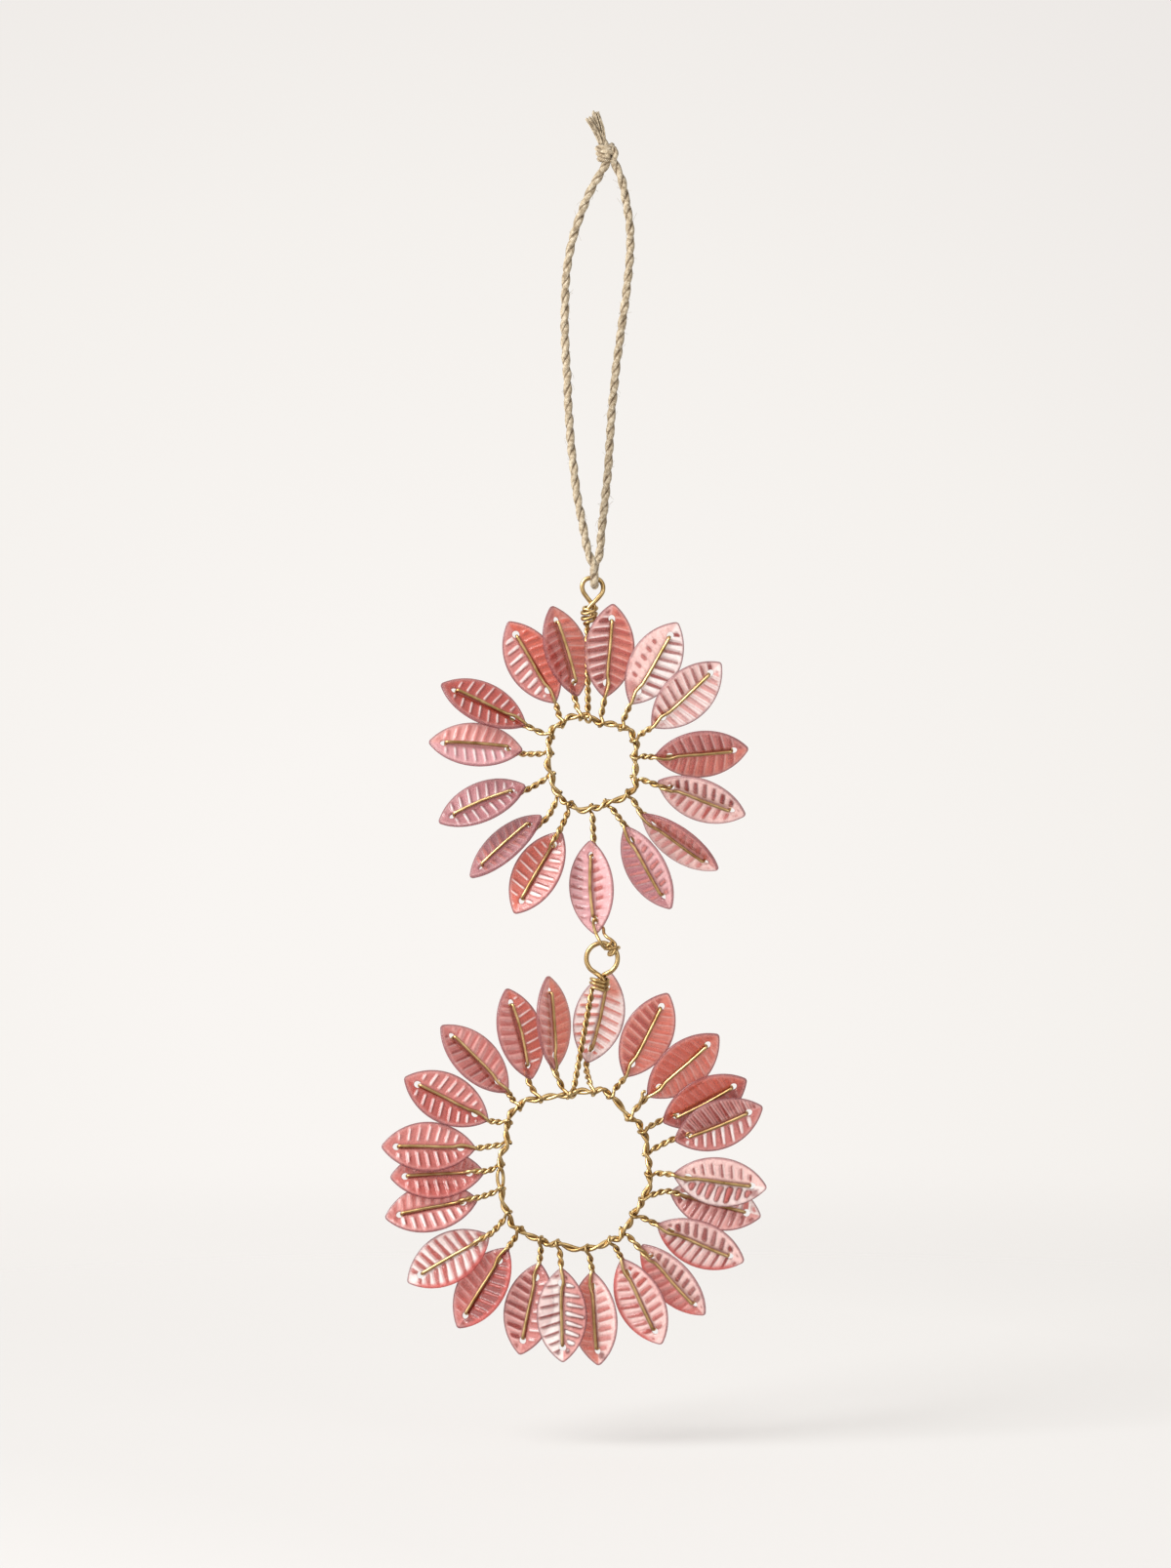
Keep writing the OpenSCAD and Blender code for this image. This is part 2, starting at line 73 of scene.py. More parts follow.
# Linear tones of the room from front to back, and of what gloss mirrors, from lower right to upper left
ROOM_TONES = [(0.2, (0.2, 0.196, 0.192, 1)), (0.75, (0.68, 0.672, 0.656, 1))]
CARD_TONES = [(0.1, (0.06, 0.05, 0.04, 1)), (0.5, (0.28, 0.26, 0.23, 1)), (0.9, (0.9, 0.86, 0.78, 1))]
CARD_TOWARD = (-0.7, 0.0, 0.7)
CARD_REACH = 0.8
BEHIND = [(0.45, 0.0), (0.7, 1.0)]
# Lamps: name, place, width and height, and power
LIGHT_TARGET = (-5, 0, -150)
LAMPS = [
    ("key", (-640, -500, 430), (520, 520), 12.2),
    ("left", (-520, -560, -60), (220, 760), 1.6),
    ("right", (430, -720, 60), (500, 700), 2.4),
    ("top", (-150, -250, 620), (700, 700), 0.25),
]

# Leaf beads
LEAF_L = 19.6
LEAF_W = 10.4
LEAF_T = 0.8
LEAF_FOLD = math.tan(math.radians(8))
FOLD_ROUND = 0.4
TIP_ROUND = 0.8
EDGE_ROUND = 0.35
EDGE_T = 0.3
HOLE_INSET = 3.2
HOLE_D = 1.5
LINK_HOLE_D = 2.0
RIB_COUNT = 9
RIB_PITCH = 1.87
RIB_RISE = 0.24
RIB_HALF = 0.55
RIB_SWEEP = 0.25
RIB_FAN = 0.025
FIRST_RIB = 8.1
RIB_START = (0.5, 1.3)
RIB_STOP = (0.3, 1.1)
RIB_BACK = 0.8
HOLE_Y = LEAF_L / 2 - HOLE_INSET
HOLE_EDGE = 0.1
ARC_R = (LEAF_L ** 2 + LEAF_W ** 2) / (4 * LEAF_W)
ARC_X = ARC_R - LEAF_W / 2
TIP_Y = math.sqrt((ARC_R - TIP_ROUND) ** 2 - ARC_X ** 2)
# A leaf's mesh: loops at the rim and the holes, rows along the ribs, and how far these stay off the loops
RIM_STEP = 0.4
RIM_INSETS = (0, 0.1, 0.24)
TIP_POINTS = 7
HOLE_POINTS = 24
HOLE_LIP = 0.14
RIB_ROWS = 11
ROW_STEP = 0.27
RIM_CLEAR = 0.38
HOLE_CLEAR = 0.24
# Points nearer than this are joined, and triangles within this share of a hole are left out
JOIN = 1e-6
HOLE_SHARE = 0.99
# A leaf's see-through part: its share, and how much white is in its tint
CLEAR_SHARE = 0.5
CLEAR_WHITE = 0.44

# Brass wire
WIRE_D = 0.68
HOOP_WIRE_D = 0.76
HOOP_STEPS = 24
EYE_WIRE_D = 0.95
RING_WIRE_D = 1.0
WIRE_SIDES = 10
EYE_SIDES = 14
RING_SIDES = 16
BEND_STEPS = 8
WRAP_STEPS = 6
TWIST_R = 0.34
STEM_PITCH = 3.5
STEM_LIFT = 1.3
STEM_STEPS = 10
STEM_POINTS = 14
WIRE_LIFT = 0.77
WIRE_ASIDE = 0.45
WIRE_END = 0.22
LINK_WIRE_END = 0.45
GRIP_L = 1.2
# Where a leaf's wire bends, from its holes and its tip, and how far it bows from the midrib
BEND_FROM = 0.9
BEND_TO = 0.3
BEND_IN = 0.2
BEND_DIP = 0.1
BACK_FROM = 0.7
LANDING = 1.4
PARTED_LANDING = 1.6
TIP_BEND = 0.6
TIP_DIP = 0.05
TIP_GAP = 0.1
FRONT_BOW = 0.05
BACK_BOW = 0.3
# A wire's turn around the hoop: its reach, half angle and step in degrees, and points in its first half
TURN_IN = 0.9
TURN_FRONT = 1.08
TURN_STEP = 0.6
TURN_HALF = 110
TURN_ANGLE = 22
TURN_SPLIT = 6
# How far a hoop bows out between its roots, which varies from root to root, and its shift inwards
HOOP_SAG = 0.7
SAG_MEAN = 0.6
SAG_WAVE = 0.4
SAG_RATE = 2.3
HOOP_IN = 0.2
LAY_STEP = 0.05
# Stretch of a hoop, after this root (from 0), where its inner strand stands off from the other
PARTED = ("lower", 16)
PARTED_BY = 0.45
# Loose end of a wire beside the stem of a lower leaf, from the hoop's middle
LOOSE_END = [[13.2, -0.3, 13.4], [13.55, -0.6, 14.3], [13.86, -0.7, 15.1], [13.86, -0.7, 15.8],
             [14.16, -0.7, 16.2], [14.56, -0.65, 16.1]]

# Wreaths, eye and ring
EYE_AT = np.array([-3.8, 0, -84.9])
RING_R = 3.2
RING_FROM_HOLE = [1.5, 0, -8]
# Hoops: place from the eye or the ring, radius, turns of the twist
UPPER_HOOP = ([-0.3, 0, -38.2], 9.4, 12)
LOWER_HOOP = ([-5.6, 0, -43.4], 16, 18)
# Hangers: step along the hoop, top from the eye or the ring, and the cut end from the top
UPPER_HANGER = (1.45, [-1, 0, -9.9])
LOWER_HANGER = (0.28, [-2.2, -0.7, -7.2])
HANGER_CUT = [0.4, 0.6, 1.2]
EYE = [[-0.3, 0.1, -8.3], [0.1, 0.25, -7], [0.4, 0.35, -5.8], [-0.4, 0.35, -4.8], [-1.2, 0.2, -3.8],
       [-1.86, 0.1, -2.8], [-2.1, 0, -1.65], [-1.73, 0, -0.62], [-0.9, 0, -0.06], [0, 0, 0.05],
       [0.9, 0, -0.06], [1.75, 0, -0.64], [2.2, 0, -1.65], [2.1, -0.1, -2.8], [1.4, -0.25, -3.85],
       [0.45, -0.45, -4.87], [-0.45, -0.5, -5.77], [-0.95, -0.4, -6.5]]
EYE_WRAP = [[-1.6, -0.4, -9.3], [-0.9, -1.1, -9.1], [0.3, -0.9, -8.7], [0.7, 0.2, -8.3], [-0.6, 1, -8],
            [-2, 0.2, -8.1], [-1.9, -0.8, -8.5], [-0.7, -1.3, -8.3], [0.5, -1, -7.7], [0.8, 0.1, -7.2],
            [-0.5, 1, -7], [-2, 0.3, -6.9], [-2, -0.7, -7.3], [-0.9, -1.35, -7.3], [0.4, -1.2, -6.7],
            [0.9, 0, -6.1], [-0.2, 1, -5.9], [-1.6, 0.4, -6], [-1.7, -0.6, -6.4], [-0.7, -1.2, -6.6],
            [0.3, -1.1, -7.3], [0.8, -0.7, -8.4]]
RING_CLOCKS = [205, 230, 260, 290, 320, 350, 15, 57, 85, 115, 140, 158]
RING_FRONT = [[0.35, -0.35, -6.3], [0.45, -0.4, -4.9], [-0.1, -0.45, -3.85]]
RING_BACK = [[0.25, 0.4, -3.5], [-0.35, 0.4, -4.7], [-0.4, 0.35, -6.3]]
RING_WRAP = [[-2.2, -0.6, -6.2], [-1.9, -1.1, -5.9], [-0.9, -1.4, -6.1], [0.3, -1.3, -6.5],
             [1.2, -0.2, -6.2], [-0.5, 1.3, -5.5], [-2.3, 0.1, -4.9], [-1.9, -1.1, -5], [-0.8, -1.45, -5.3],
             [0.4, -1.4, -5.6], [1.3, -0.2, -5.2], [-0.5, 1.3, -4.6], [-2.2, 0.1, -4.1],
             [-1.7, -1.1, -4.3], [-0.6, -1.4, -4.6], [0.5, -1.3, -4.9], [1.3, -0.2, -4.4], [0.3, 1.2, -4],
             [-0.7, 0.9, -4]]

# Link wire: its front strand from the ring up to the leaf's hole, then its back strand. Wound points are the
# clock on the ring, the turn around its wire and the distance from it.
LINK_TUBE_R = 3.05
LINK_FRONT_WOUND = [(56, -285, 1.25), (66, -240, 1.2), (62, -190, 1.45), (50, -160, 1.2), (54, -100, 1.05),
                    (58, -30, 1.1), (54, 40, 1.25), (44, 95, 1.4), (26, 120, 1.55), (4, 105, 1.85),
                    (-8, 70, 2.12)]
LINK_FRONT = [[-1.1, -1.4, 4.85], [-1.5, -1.2, 5.9], [-1.75, -1.2, 7], [-1.75, -1.35, 7.8],
              [-1.5, -1.4, 8.15], [-1.2, -1.1, 8]]
# Through the leaf's hole: places from its middle, and how far in front of the leaf
LINK_THROUGH = [([0.15, 0, -0.2], 0.3), ([0.2, 0, -0.25], -0.8)]
LINK_BACK = [[-0.7, 1.3, 7.1], [0.25, 0.9, 6.2], [0.4, 0.5, 5.2], [1, -0.1, 4.4], [1.9, -0.4, 3.85]]
LINK_BACK_WOUND = [(44, 30, 1.07), (50, 90, 1.03), (56, 150, 1.15), (58, 215, 1.05), (50, 285, 1),
                   (38, 350, 1), (30, 50, 1.05), (22, 110, 1), (18, 180, 0.95), (20, 245, 0.95)]

# Twine
CORD_D = 1.8
CORD_BEND = 3.6
CORD_ASIDE = 0.4
CORD_CLEAR = 0.1
CORD_STEP = 0.25
CORD_STEPS = 12
CORD_SEED = 3
BIGHT_STEP = 22.5
# Plies: radius, offset and the reach of the painted shade in their grooves as shares of the twine's
# diameter, lay in mm, yarns and waves
PLY_R = 0.355
PLY_OUT = 0.145
PLY_LAY = 6.4
PLY_SIDES = 15
PLY_SWELL = 0.04
SWELL_RATE = 1.7
YARNS = 5
YARN_RIDGE = 0.06
YARN_RATE = 2.1
GROOVE_SHADE = (0.32, 0.47)
# Knot: a coil of twine, and strands through and over it (thickness, points from the knot's middle)
KNOT_AT = np.array([-0.9, 0, 2.4])
KNOT_LEAN = -12
KNOT_STEP = 0.2
COIL_D = 1.5
COIL_LAY = 4.6
COIL_POINTS = 100
COIL_TURNS = 2.75
COIL_FROM = 0.2
COIL_RISE = 2.5
COIL_LOW = 0.47
COIL_TILT = 0.25
COIL_WIDE = 1.5
COIL_DEEP = 1.1
KNOT_LAY = 5
KNOT_STRANDS = [
    (1.9, [[0.3, 0, -1.9], [0, 0, 0], [-0.7, 0, 2.2]]),
    (1.5, [[-0.2, 1, 0.8], [0.8, 0.3, 0.9], [1.4, -0.7, 0.45], [1.75, -0.95, -0.4], [1.6, -0.65, -1.2],
           [1.35, -0.1, -1.9]]),
]
# Frayed tails (tip, count of fibres), their spread at foot and tip, and how far fibres stray
TAILS = [([-4.5, -0.3, 9.3], 60), ([-3.1, 0.2, 10.5], 64)]
TAIL_FOOT = [-0.7, 0, 1.3]
TAIL_FOOT_R = np.array([0.8, 0.75, 0])
TAIL_TIP_R = np.array([0.85, 0.8, 0])
TAIL_CUT = 0.22
TAIL_BOW = (0.3, 0, 0.1)
TAIL_STRAY = 0.08
TAIL_FIBRE_R = (0.13, 0.08)
TAIL_SIDES = 5
TAIL_STEPS = 5
TAIL_SHADES = (0.55, 0.85)
# Loose fibres, and for each point of one: distance off the twine, share of the reach, rise and curl
FIBRES = 150
FIBRE_REACH = (1.1, 2.2)
FIBRE_CURL = 0.6
FIBRE_R = 0.028
FIBRE_SIDES = 3
FIBRE_SHADE = 0.7
FIBRE_EYE_GAP = 5
FIBRE_POINTS = [(0.7, 0, 0, 0), (0.6, 0.3, 0.5, 0), (0.5, 0.7, 0.55, 0.5), (0, 1, 0.7, 1)]
LEFT_LEG = [[-0.7, 0, 1.4], [-1, 0, 0.1], [-3.9, -0.4, -5], [-6.4, -0.8, -11], [-8.4, -1.2, -18],
            [-9.2, -1.6, -24], [-9.4, -2, -30], [-9.4, -2.4, -36], [-9, -2.8, -43], [-8.6, -3.1, -52],
            [-7.8, -3.4, -61], [-6.8, -3.6, -69], [-5.6, -3.6, -75], [-4.6, -3.6, -80]]
RIGHT_LEG = [[0.3, 0, 1.4], [0.7, 0, 0.3], [2.2, 0.4, -3.2], [3.2, 0.8, -8], [4, 1.2, -14],
             [3.8, 1.6, -20], [3.2, 2, -26], [2.4, 2.4, -32], [1.4, 2.8, -39], [0.6, 3.1, -46],
             [0, 3.3, -53], [-0.4, 3.5, -60], [-1, 3.6, -67], [-1.8, 3.6, -74], [-2.4, 3.6, -80]]

# Leaf colours, sRGB, some also used for painted light and shade: cream glints, blush light and plum shade at
# the rim, deep shade along the midrib, and glow
COLOURS = {
    "cream": (255, 252, 250), "pale": (255, 243, 240), "blush": (252, 217, 212), "pink": (233, 172, 166),
    "rose": (208, 126, 119), "peach": (238, 150, 126), "salmon": (220, 132, 114), "coral": (214, 104, 82),
    "flame": (206, 84, 58), "brick": (186, 78, 67), "red": (152, 37, 26), "deep": (116, 24, 17),
    "mauve": (190, 126, 131), "plum": (132, 64, 74), "dusky": (207, 113, 105), "orchid": (238, 190, 192),
    "lilac": (222, 166, 170), "glow": (212, 92, 84),
}

# How one half of a leaf is coloured, partly its own pattern and partly painted light and shade: the tones of
# its land, paler or darker from half to half as painted light and shade, the ribs' fingers (cream fingers
# are painted highlights) and the dark beside them, the fingers' width and distance from midrib and rim, and
# how strong are the painted shade on the stem's side of a finger, the painted glint on its other side, the
# line around it and the fine lines between fingers
Look = namedtuple("Look", "tones width start stop band glint line fine")
LOOKS = {
    "slits": ("brick cream red", 0.36, 1, 0.8, 0.9, 0, 0, 0.3),
    "short_slits": ("dusky pale red", 0.3, 1.2, 1.4, 0.7, 0, 0, 0.4),
    "rose_slits": ("rose cream red", 0.34, 1.1, 0.9, 0.7, 0, 0, 0.3),
    "coral_slits": ("coral cream red", 0.34, 0.8, 0.6, 0.5, 0, 0, 0.2),
    "mauve_slits": ("mauve cream plum", 0.45, 0.9, 0.8, 0.8, 0, 0.2, 0.3),
    "lilac_slits": ("lilac cream plum", 0.5, 0.9, 0.8, 0.5, 0, 0.2, 0.3),
    "wide_slits": ("rose cream red", 0.7, 0.8, 0.7, 1, 0, 0, 0.2),
    "coral": ("coral flame red", 0.7, 0.7, 0.4, 0.3, 0.12, 0, 0.4),
    "peach": ("peach coral red", 0.7, 0.7, 0.4, 0.3, 0.2, 0, 0.3),
    "salmon": ("salmon coral red", 0.7, 0.7, 0.4, 0.3, 0.3, 0, 0.3),
    "dark": ("red brick deep", 0.7, 0.7, 0.4, 0.5, 0.15, 0, 0.4),
    "brick": ("brick red deep", 0.7, 0.7, 0.4, 0.5, 0.2, 0, 0.4),
    "rose": ("rose brick red", 0.8, 0.8, 0.5, 0.4, 0.3, 0, 0.4),
    "soft_rose": ("rose pink brick", 0.8, 0.6, 0.5, 0.6, 0.3, 0, 0.3),
    "soft_pink": ("pink rose brick", 0.8, 0.6, 0.5, 0.5, 0.6, 0, 0.2),
    "mauve": ("mauve rose plum", 0.7, 0.8, 0.6, 0.4, 0.3, 0.2, 0.5),
    "mauve_ribs": ("orchid rose plum", 0.9, 1, 0.9, 0.4, 0.3, 0.7, 0.2),
    "bars": ("rose red deep", 0.65, 0.5, 0.4, 0.3, 0.4, 0, 0.3),
    "salmon_bars": ("salmon brick red", 0.9, 0.4, 0.3, 0.5, 0.3, 0, 0.2),
    "blush_bars": ("pale dusky red", 1, 0.3, 0.2, 0.6, 0.9, 0, 0),
    "red_bars": ("pale brick red", 1, 0.3, 0.2, 0.6, 0.9, 0, 0),
    "glossy_bars": ("pink red deep", 1.1, 0.3, 0.3, 0.5, 0.9, 0, 0),
    "coral_ribs": ("pale coral red", 0.75, 0.2, 0.2, 0.5, 0.9, 0, 0.1),
    "coral_lines": ("pale coral flame", 0.6, 0.2, 0.6, 0.6, 0.8, 0, 0.6),
    "soft_ribs": ("blush rose red", 0.9, 0.6, 0.8, 0.4, 0.6, 0.2, 0.2),
    "brick_ribs": ("blush brick red", 0.9, 0.6, 0.8, 0.4, 0.5, 0.2, 0.2),
    "bands": ("blush red deep", 0.75, 0.3, 0.2, 0.3, 0.8, 0, 0.2),
    "white_bands": ("pale red deep", 0.7, 0.3, 0.4, 0.5, 1, 0, 0),
    "drops": ("blush brick red", 0.8, 1.9, 1.5, 0.3, 0, 0.4, 0),
    "thin_slots": ("blush red deep", 0.5, 1, 0.8, 0.5, 0.6, 0, 0.2),
    "short_slots": ("orchid brick red", 0.9, 0.5, 1.9, 0.3, 0.5, 0.2, 0.1),
    "red_slots": ("pink red deep", 0.95, 0.5, 0.3, 0.4, 0.4, 0, 0),
    "rim_slots": ("lilac red plum", 0.85, 1.9, 0.3, 0.3, 0.4, 0.4, 0.1),
    "pale_slots": ("blush red deep", 0.85, 0.7, 0.7, 0.3, 0.4, 0.6, 0),
    "dark_slots": ("blush red deep", 1, 0.7, 0.7, 0.3, 0.3, 0.6, 0),
    "rose_slots": ("rose brick red", 0.9, 0.8, 0.9, 0.3, 0.2, 0.6, 0.2),
    "outlined": ("pale dusky deep", 1.2, 0.7, 0.9, 0.2, 0.3, 1, 0),
    "white_outlined": ("pink cream deep", 0.95, 0.6, 0.6, 0.4, 0, 1, 0),
    "dark_lines": ("pale red deep", 0.45, 0.4, 0.3, 0.5, 0.6, 0.3, 0),
    "fine": ("pale pink brick", 0.6, 0.3, 0.3, 0.8, 0.5, 0, 0.8),
    "brown_fine": ("pink red deep", 0.6, 0.3, 0.2, 0.3, 0.4, 0, 1.3),
}

# One row per leaf, clockwise from near the top: root on the hoop (clock degrees, out), leaf (clock, stem,
# lean, roll, depth), the stem's side (1 front, -1 back, 0 parted at the tip), and the looks of the left and
# right half, with the tip up. Flip is -1 on a leaf threaded by its other end.
Leaf = namedtuple("Leaf", "root_clock root_out clock stem lean roll depth side left right flip",
                  defaults=(1,))
UPPER_LEAVES = [
    (324, 1, 330, 5, 0, 4, 0.7, 0, "wide_slits", "coral"),
    (346, 0.9, 347, 4.6, -3, 32, 0, -1, "rose", "salmon"),
    (12, -0.5, 9, 4.4, -4, 12, -0.8, 0, "glossy_bars", "salmon_bars"),
    (38, 0.6, 32, 5.2, -2, 8, -1.6, 0, "drops", "white_bands", -1),
    (59, 1, 54, 5, -7, 16, -1.4, 0, "bands", "fine", -1),
    (79, -0.1, 84, 3.6, 1, 25, 0, 0, "bars", "salmon_bars"),
    (106, 0.1, 107, 4.5, 4, 36, 0, 1, "pale_slots", "brick_ribs"),
    (127, 0.5, 131, 5, -5, 52, 0, 0, "rose_slots", "soft_ribs"),
    (156, -0.7, 151, 5, 0, 40, 0, 0, "mauve_ribs", "mauve"),
    (178, -0.3, 179, 6, -2, 30, 0, -1, "short_slots", "rim_slots"),
    (206, 0, 206, 5.5, 4, 25, 0, 1, "wide_slits", "coral_slits"),
    (225, -0.2, 226, 5, 3, 54, 0, -1, "mauve", "mauve"),
    (254, -0.9, 250, 4.5, -3, 40, 0, -1, "mauve_slits", "mauve_slits"),
    (284, -0.5, 279, 4.7, -4, 32, 0, -1, "lilac_slits", "soft_pink"),
    (304, 0.8, 299, 6, -3, 38, 0, 0, "slits", "slits"),
]
LOWER_LEAVES = [
    (353, -0.3, 351, 4.8, 5, 50, 0, 0, "soft_pink", "peach", -1),
    (12, 0.6, 9, 5.8, 5, 4, 3, -1, "coral_ribs", "coral_lines"),
    (25, 1.2, 28, 5.6, -1, 12, 0, 0, "salmon_bars", "salmon", -1),
    (45, -0.3, 46, 5.1, 3, 18, 0, 0, "coral", "salmon"),
    (59, 0.2, 62, 4.4, 1, 18, 0.8, -1, "coral", "brick"),
    (76, -0.7, 72, 5.2, -3, 12, -0.5, -1, "brown_fine", "wide_slits"),
    (92, -0.6, 94, 4, 4, 12, -1.6, 0, "thin_slots", "outlined"),
    (111, -0.8, 104, 4, 1, -8, 2.2, 1, "blush_bars", "red_slots"),
    (126, -0.8, 120, 4, -7, 22, 0, 0, "dark_slots", "bands"),
    (141, 0, 138, 4.4, 0, 36, 0, 1, "dark_slots", "soft_rose"),
    (152, 0.3, 153, 4.4, 2, 22, 0, 0, "brick_ribs", "brick_ribs"),
    (170, 0.4, 172, 4.9, 4, 25, 0.4, 0, "soft_ribs", "salmon"),
    (192, -0.5, 185, 3.8, -6, 4, -1.5, 0, "white_outlined", "dark_lines", -1),
    (205, 0, 198, 4.1, -6, 14, 0.6, 0, "rose_slits", "red_slots"),
    (222, 0.7, 218, 4.8, -6, 22, 0, 0, "dark", "rose"),
    (236, 0.4, 235, 5.8, 5, 12, 0, 1, "red_bars", "red_bars", -1),
    (255, -0.3, 255, 4.6, 4, 25, 0, 1, "wide_slits", "soft_rose"),
    (273, -0.6, 268, 2.4, -1, 18, 0.6, 1, "short_slits", "rose"),
    (291, -1, 279, 4.5, -8, 18, -0.6, 0, "rose_slits", "rose_slits"),
    (305, 0.9, 299, 4.3, -2, 16, 0, 0, "slits", "rose_slits"),
    (318, 1.5, 318, 4.9, -3, 36, 0, 0, "bars", "soft_rose", -1),
    (333, 0.5, 337.8, 4.4, 7, 30, 0, -1, "soft_rose", "coral_slits", -1),
]

# Blots of colour: wreath, leaf, place across and along it, size, tone, strength
BLOTS = [
    ("upper", 4, -1.9, -6.6, 2.2, "brick", 0.6), ("lower", 2, 1.4, 7, 3.4, "peach", 0.8),
    ("lower", 6, 0, -8.2, 1.4, "red", 0.5), ("lower", 7, 1.5, 7.3, 1.2, "red", 0.7),
    ("lower", 12, -1, 7.6, 1.1, "deep", 0.8), ("lower", 13, -1, 7.5, 0.7, "deep", 0.7),
    ("lower", 13, 0.9, 7.7, 0.7, "deep", 0.6), ("lower", 16, -0.9, 7.2, 0.7, "red", 0.6),
    ("lower", 17, -0.7, 7.4, 0.7, "red", 0.6),
]
# Leaves with painted light gathered in the rim of one half: -1 the left half, 1 the right half
GLOWS = {("lower", 9): 1, ("lower", 10): 1, ("lower", 11): 1, ("lower", 15): -1, ("lower", 16): -1}
# Row, from 0, of the upper leaf that the link wire goes through
LINK_LEAF = 9

# Paint: seeds, how far fingers vary, and where each tone starts and is full, and its strength
PAINT_SEED = 100
VARY_WIDTH = (0.85, 1.15)
VARY_START = (-0.15, 0.35)
VARY_STOP = (-0.1, 0.4)
VARY_FULL = (0.75, 1)
TAPER = 0.3
TAPER_FROM = (1, 4)
FINGER_END = (-0.1, 0.5)
FINGER_EDGE = (0.1, -0.1)
FINE_AT = 0.36 * RIB_PITCH
FINE = (0.2, 0.05, 0.5)
FINE_END = (-0.3, 0.3)
BESIDE = 0.2
# Edges of the painted shade beside each finger and of the painted glint
SHADE_BAND_EDGE = (0.34, 0.05)
GLINT_EDGE = (0.22, 0.04)
LINE_W = 0.14
LINE_END = (-0.5, 0.1)
# Painted shade towards the leaf's end at the hoop
ROOT_SHADE = (6.4, 9, 0.4)
BLOT_CORE = 0.4
# Deeper tone along the midrib crease, which is partly painted shade of the midrib wire
CREASE_AND_WIRE_SHADE = (0.75, 0.35, 0.45)
CREASE_SHADE_END = (HOLE_Y + 0.4, HOLE_Y - 0.4)
# Rim: a pale stripe of painted light inside the rounded edge, a dark line of painted shade at it, and a
# painted glow of light gathered in it
RIM_LIGHT = (0.9, 0.45, 0.25)
RIM_SHADE = (0.4, 0.16, 0.8)
RIM_GLOW = (1.2, 0.5, 0.85)
GLOW_FROM = (0.5, 2.5)


# Vectors and routes
def unit(v):
    return np.asarray(v, float) / np.linalg.norm(v)


def polar(clock, r):
    turn = math.radians(clock)
    return np.array([r * math.sin(turn), 0.0, r * math.cos(turn)])


def mix(a, b, u):
    return a * (1 - u) + b * u


def smooth(low, high, x):
    u = np.clip((x - low) / (high - low), 0, 1)
    return u * u * (3 - 2 * u)


def strides(route):
    return np.linalg.norm(np.diff(route, axis=0), axis=1)


def running(steps):
    return np.concatenate([[0], np.cumsum(steps)])


def spline(points, steps):
    """A smooth route through points, with the same number of steps between each two."""
    p = np.asarray(points, float)
    p = np.vstack([2 * p[0] - p[1], p, 2 * p[-1] - p[-2]])
    knots = running(np.sqrt(strides(p)))
    route = []
    for i in range(1, len(p) - 2):
        t0, t1, t2, t3 = knots[i - 1:i + 3]
        t = np.linspace(t1, t2, steps, endpoint=False)[:, None]
        a1 = mix(p[i - 1], p[i], (t - t0) / (t1 - t0))
        a2 = mix(p[i], p[i + 1], (t - t1) / (t2 - t1))
        a3 = mix(p[i + 1], p[i + 2], (t - t2) / (t3 - t2))
        b1 = mix(a1, a2, (t - t0) / (t2 - t0))
        b2 = mix(a2, a3, (t - t1) / (t3 - t1))
        route.append(mix(b1, b2, (t - t1) / (t2 - t1)))
    return np.vstack(route + [p[-2]])


def spaced(route, step):
    """The same route with its points at even distances."""
    along = running(strides(route))
    at = np.linspace(0, along[-1], max(2, int(round(along[-1] / step)) + 1))
    return np.column_stack([np.interp(at, along, route[:, k]) for k in range(3)])


def length(route):
    return float(strides(route).sum())


def frames(route, closed=False):
    """Up and across at each point of a route."""
    ahead = np.roll(route, -1, 0) - np.roll(route, 1, 0)
    if not closed:
        ahead[0] = route[1] - route[0]
        ahead[-1] = route[-1] - route[-2]
    ahead /= np.linalg.norm(ahead, axis=1)[:, None]
    up = np.empty_like(route)
    carried = FRONT if abs(ahead[0] @ FRONT) < HEAD_ON else UP
    for i, t in enumerate(ahead):
        carried = FRONT if closed else carried
        carried = unit(carried - t * (carried @ t))
        up[i] = carried
    return up, np.cross(ahead, up)


# Objects and meshes
def new_object(name, data):
    thing = bpy.data.objects.new(name, data)
    bpy.context.scene.collection.objects.link(thing)
    return thing


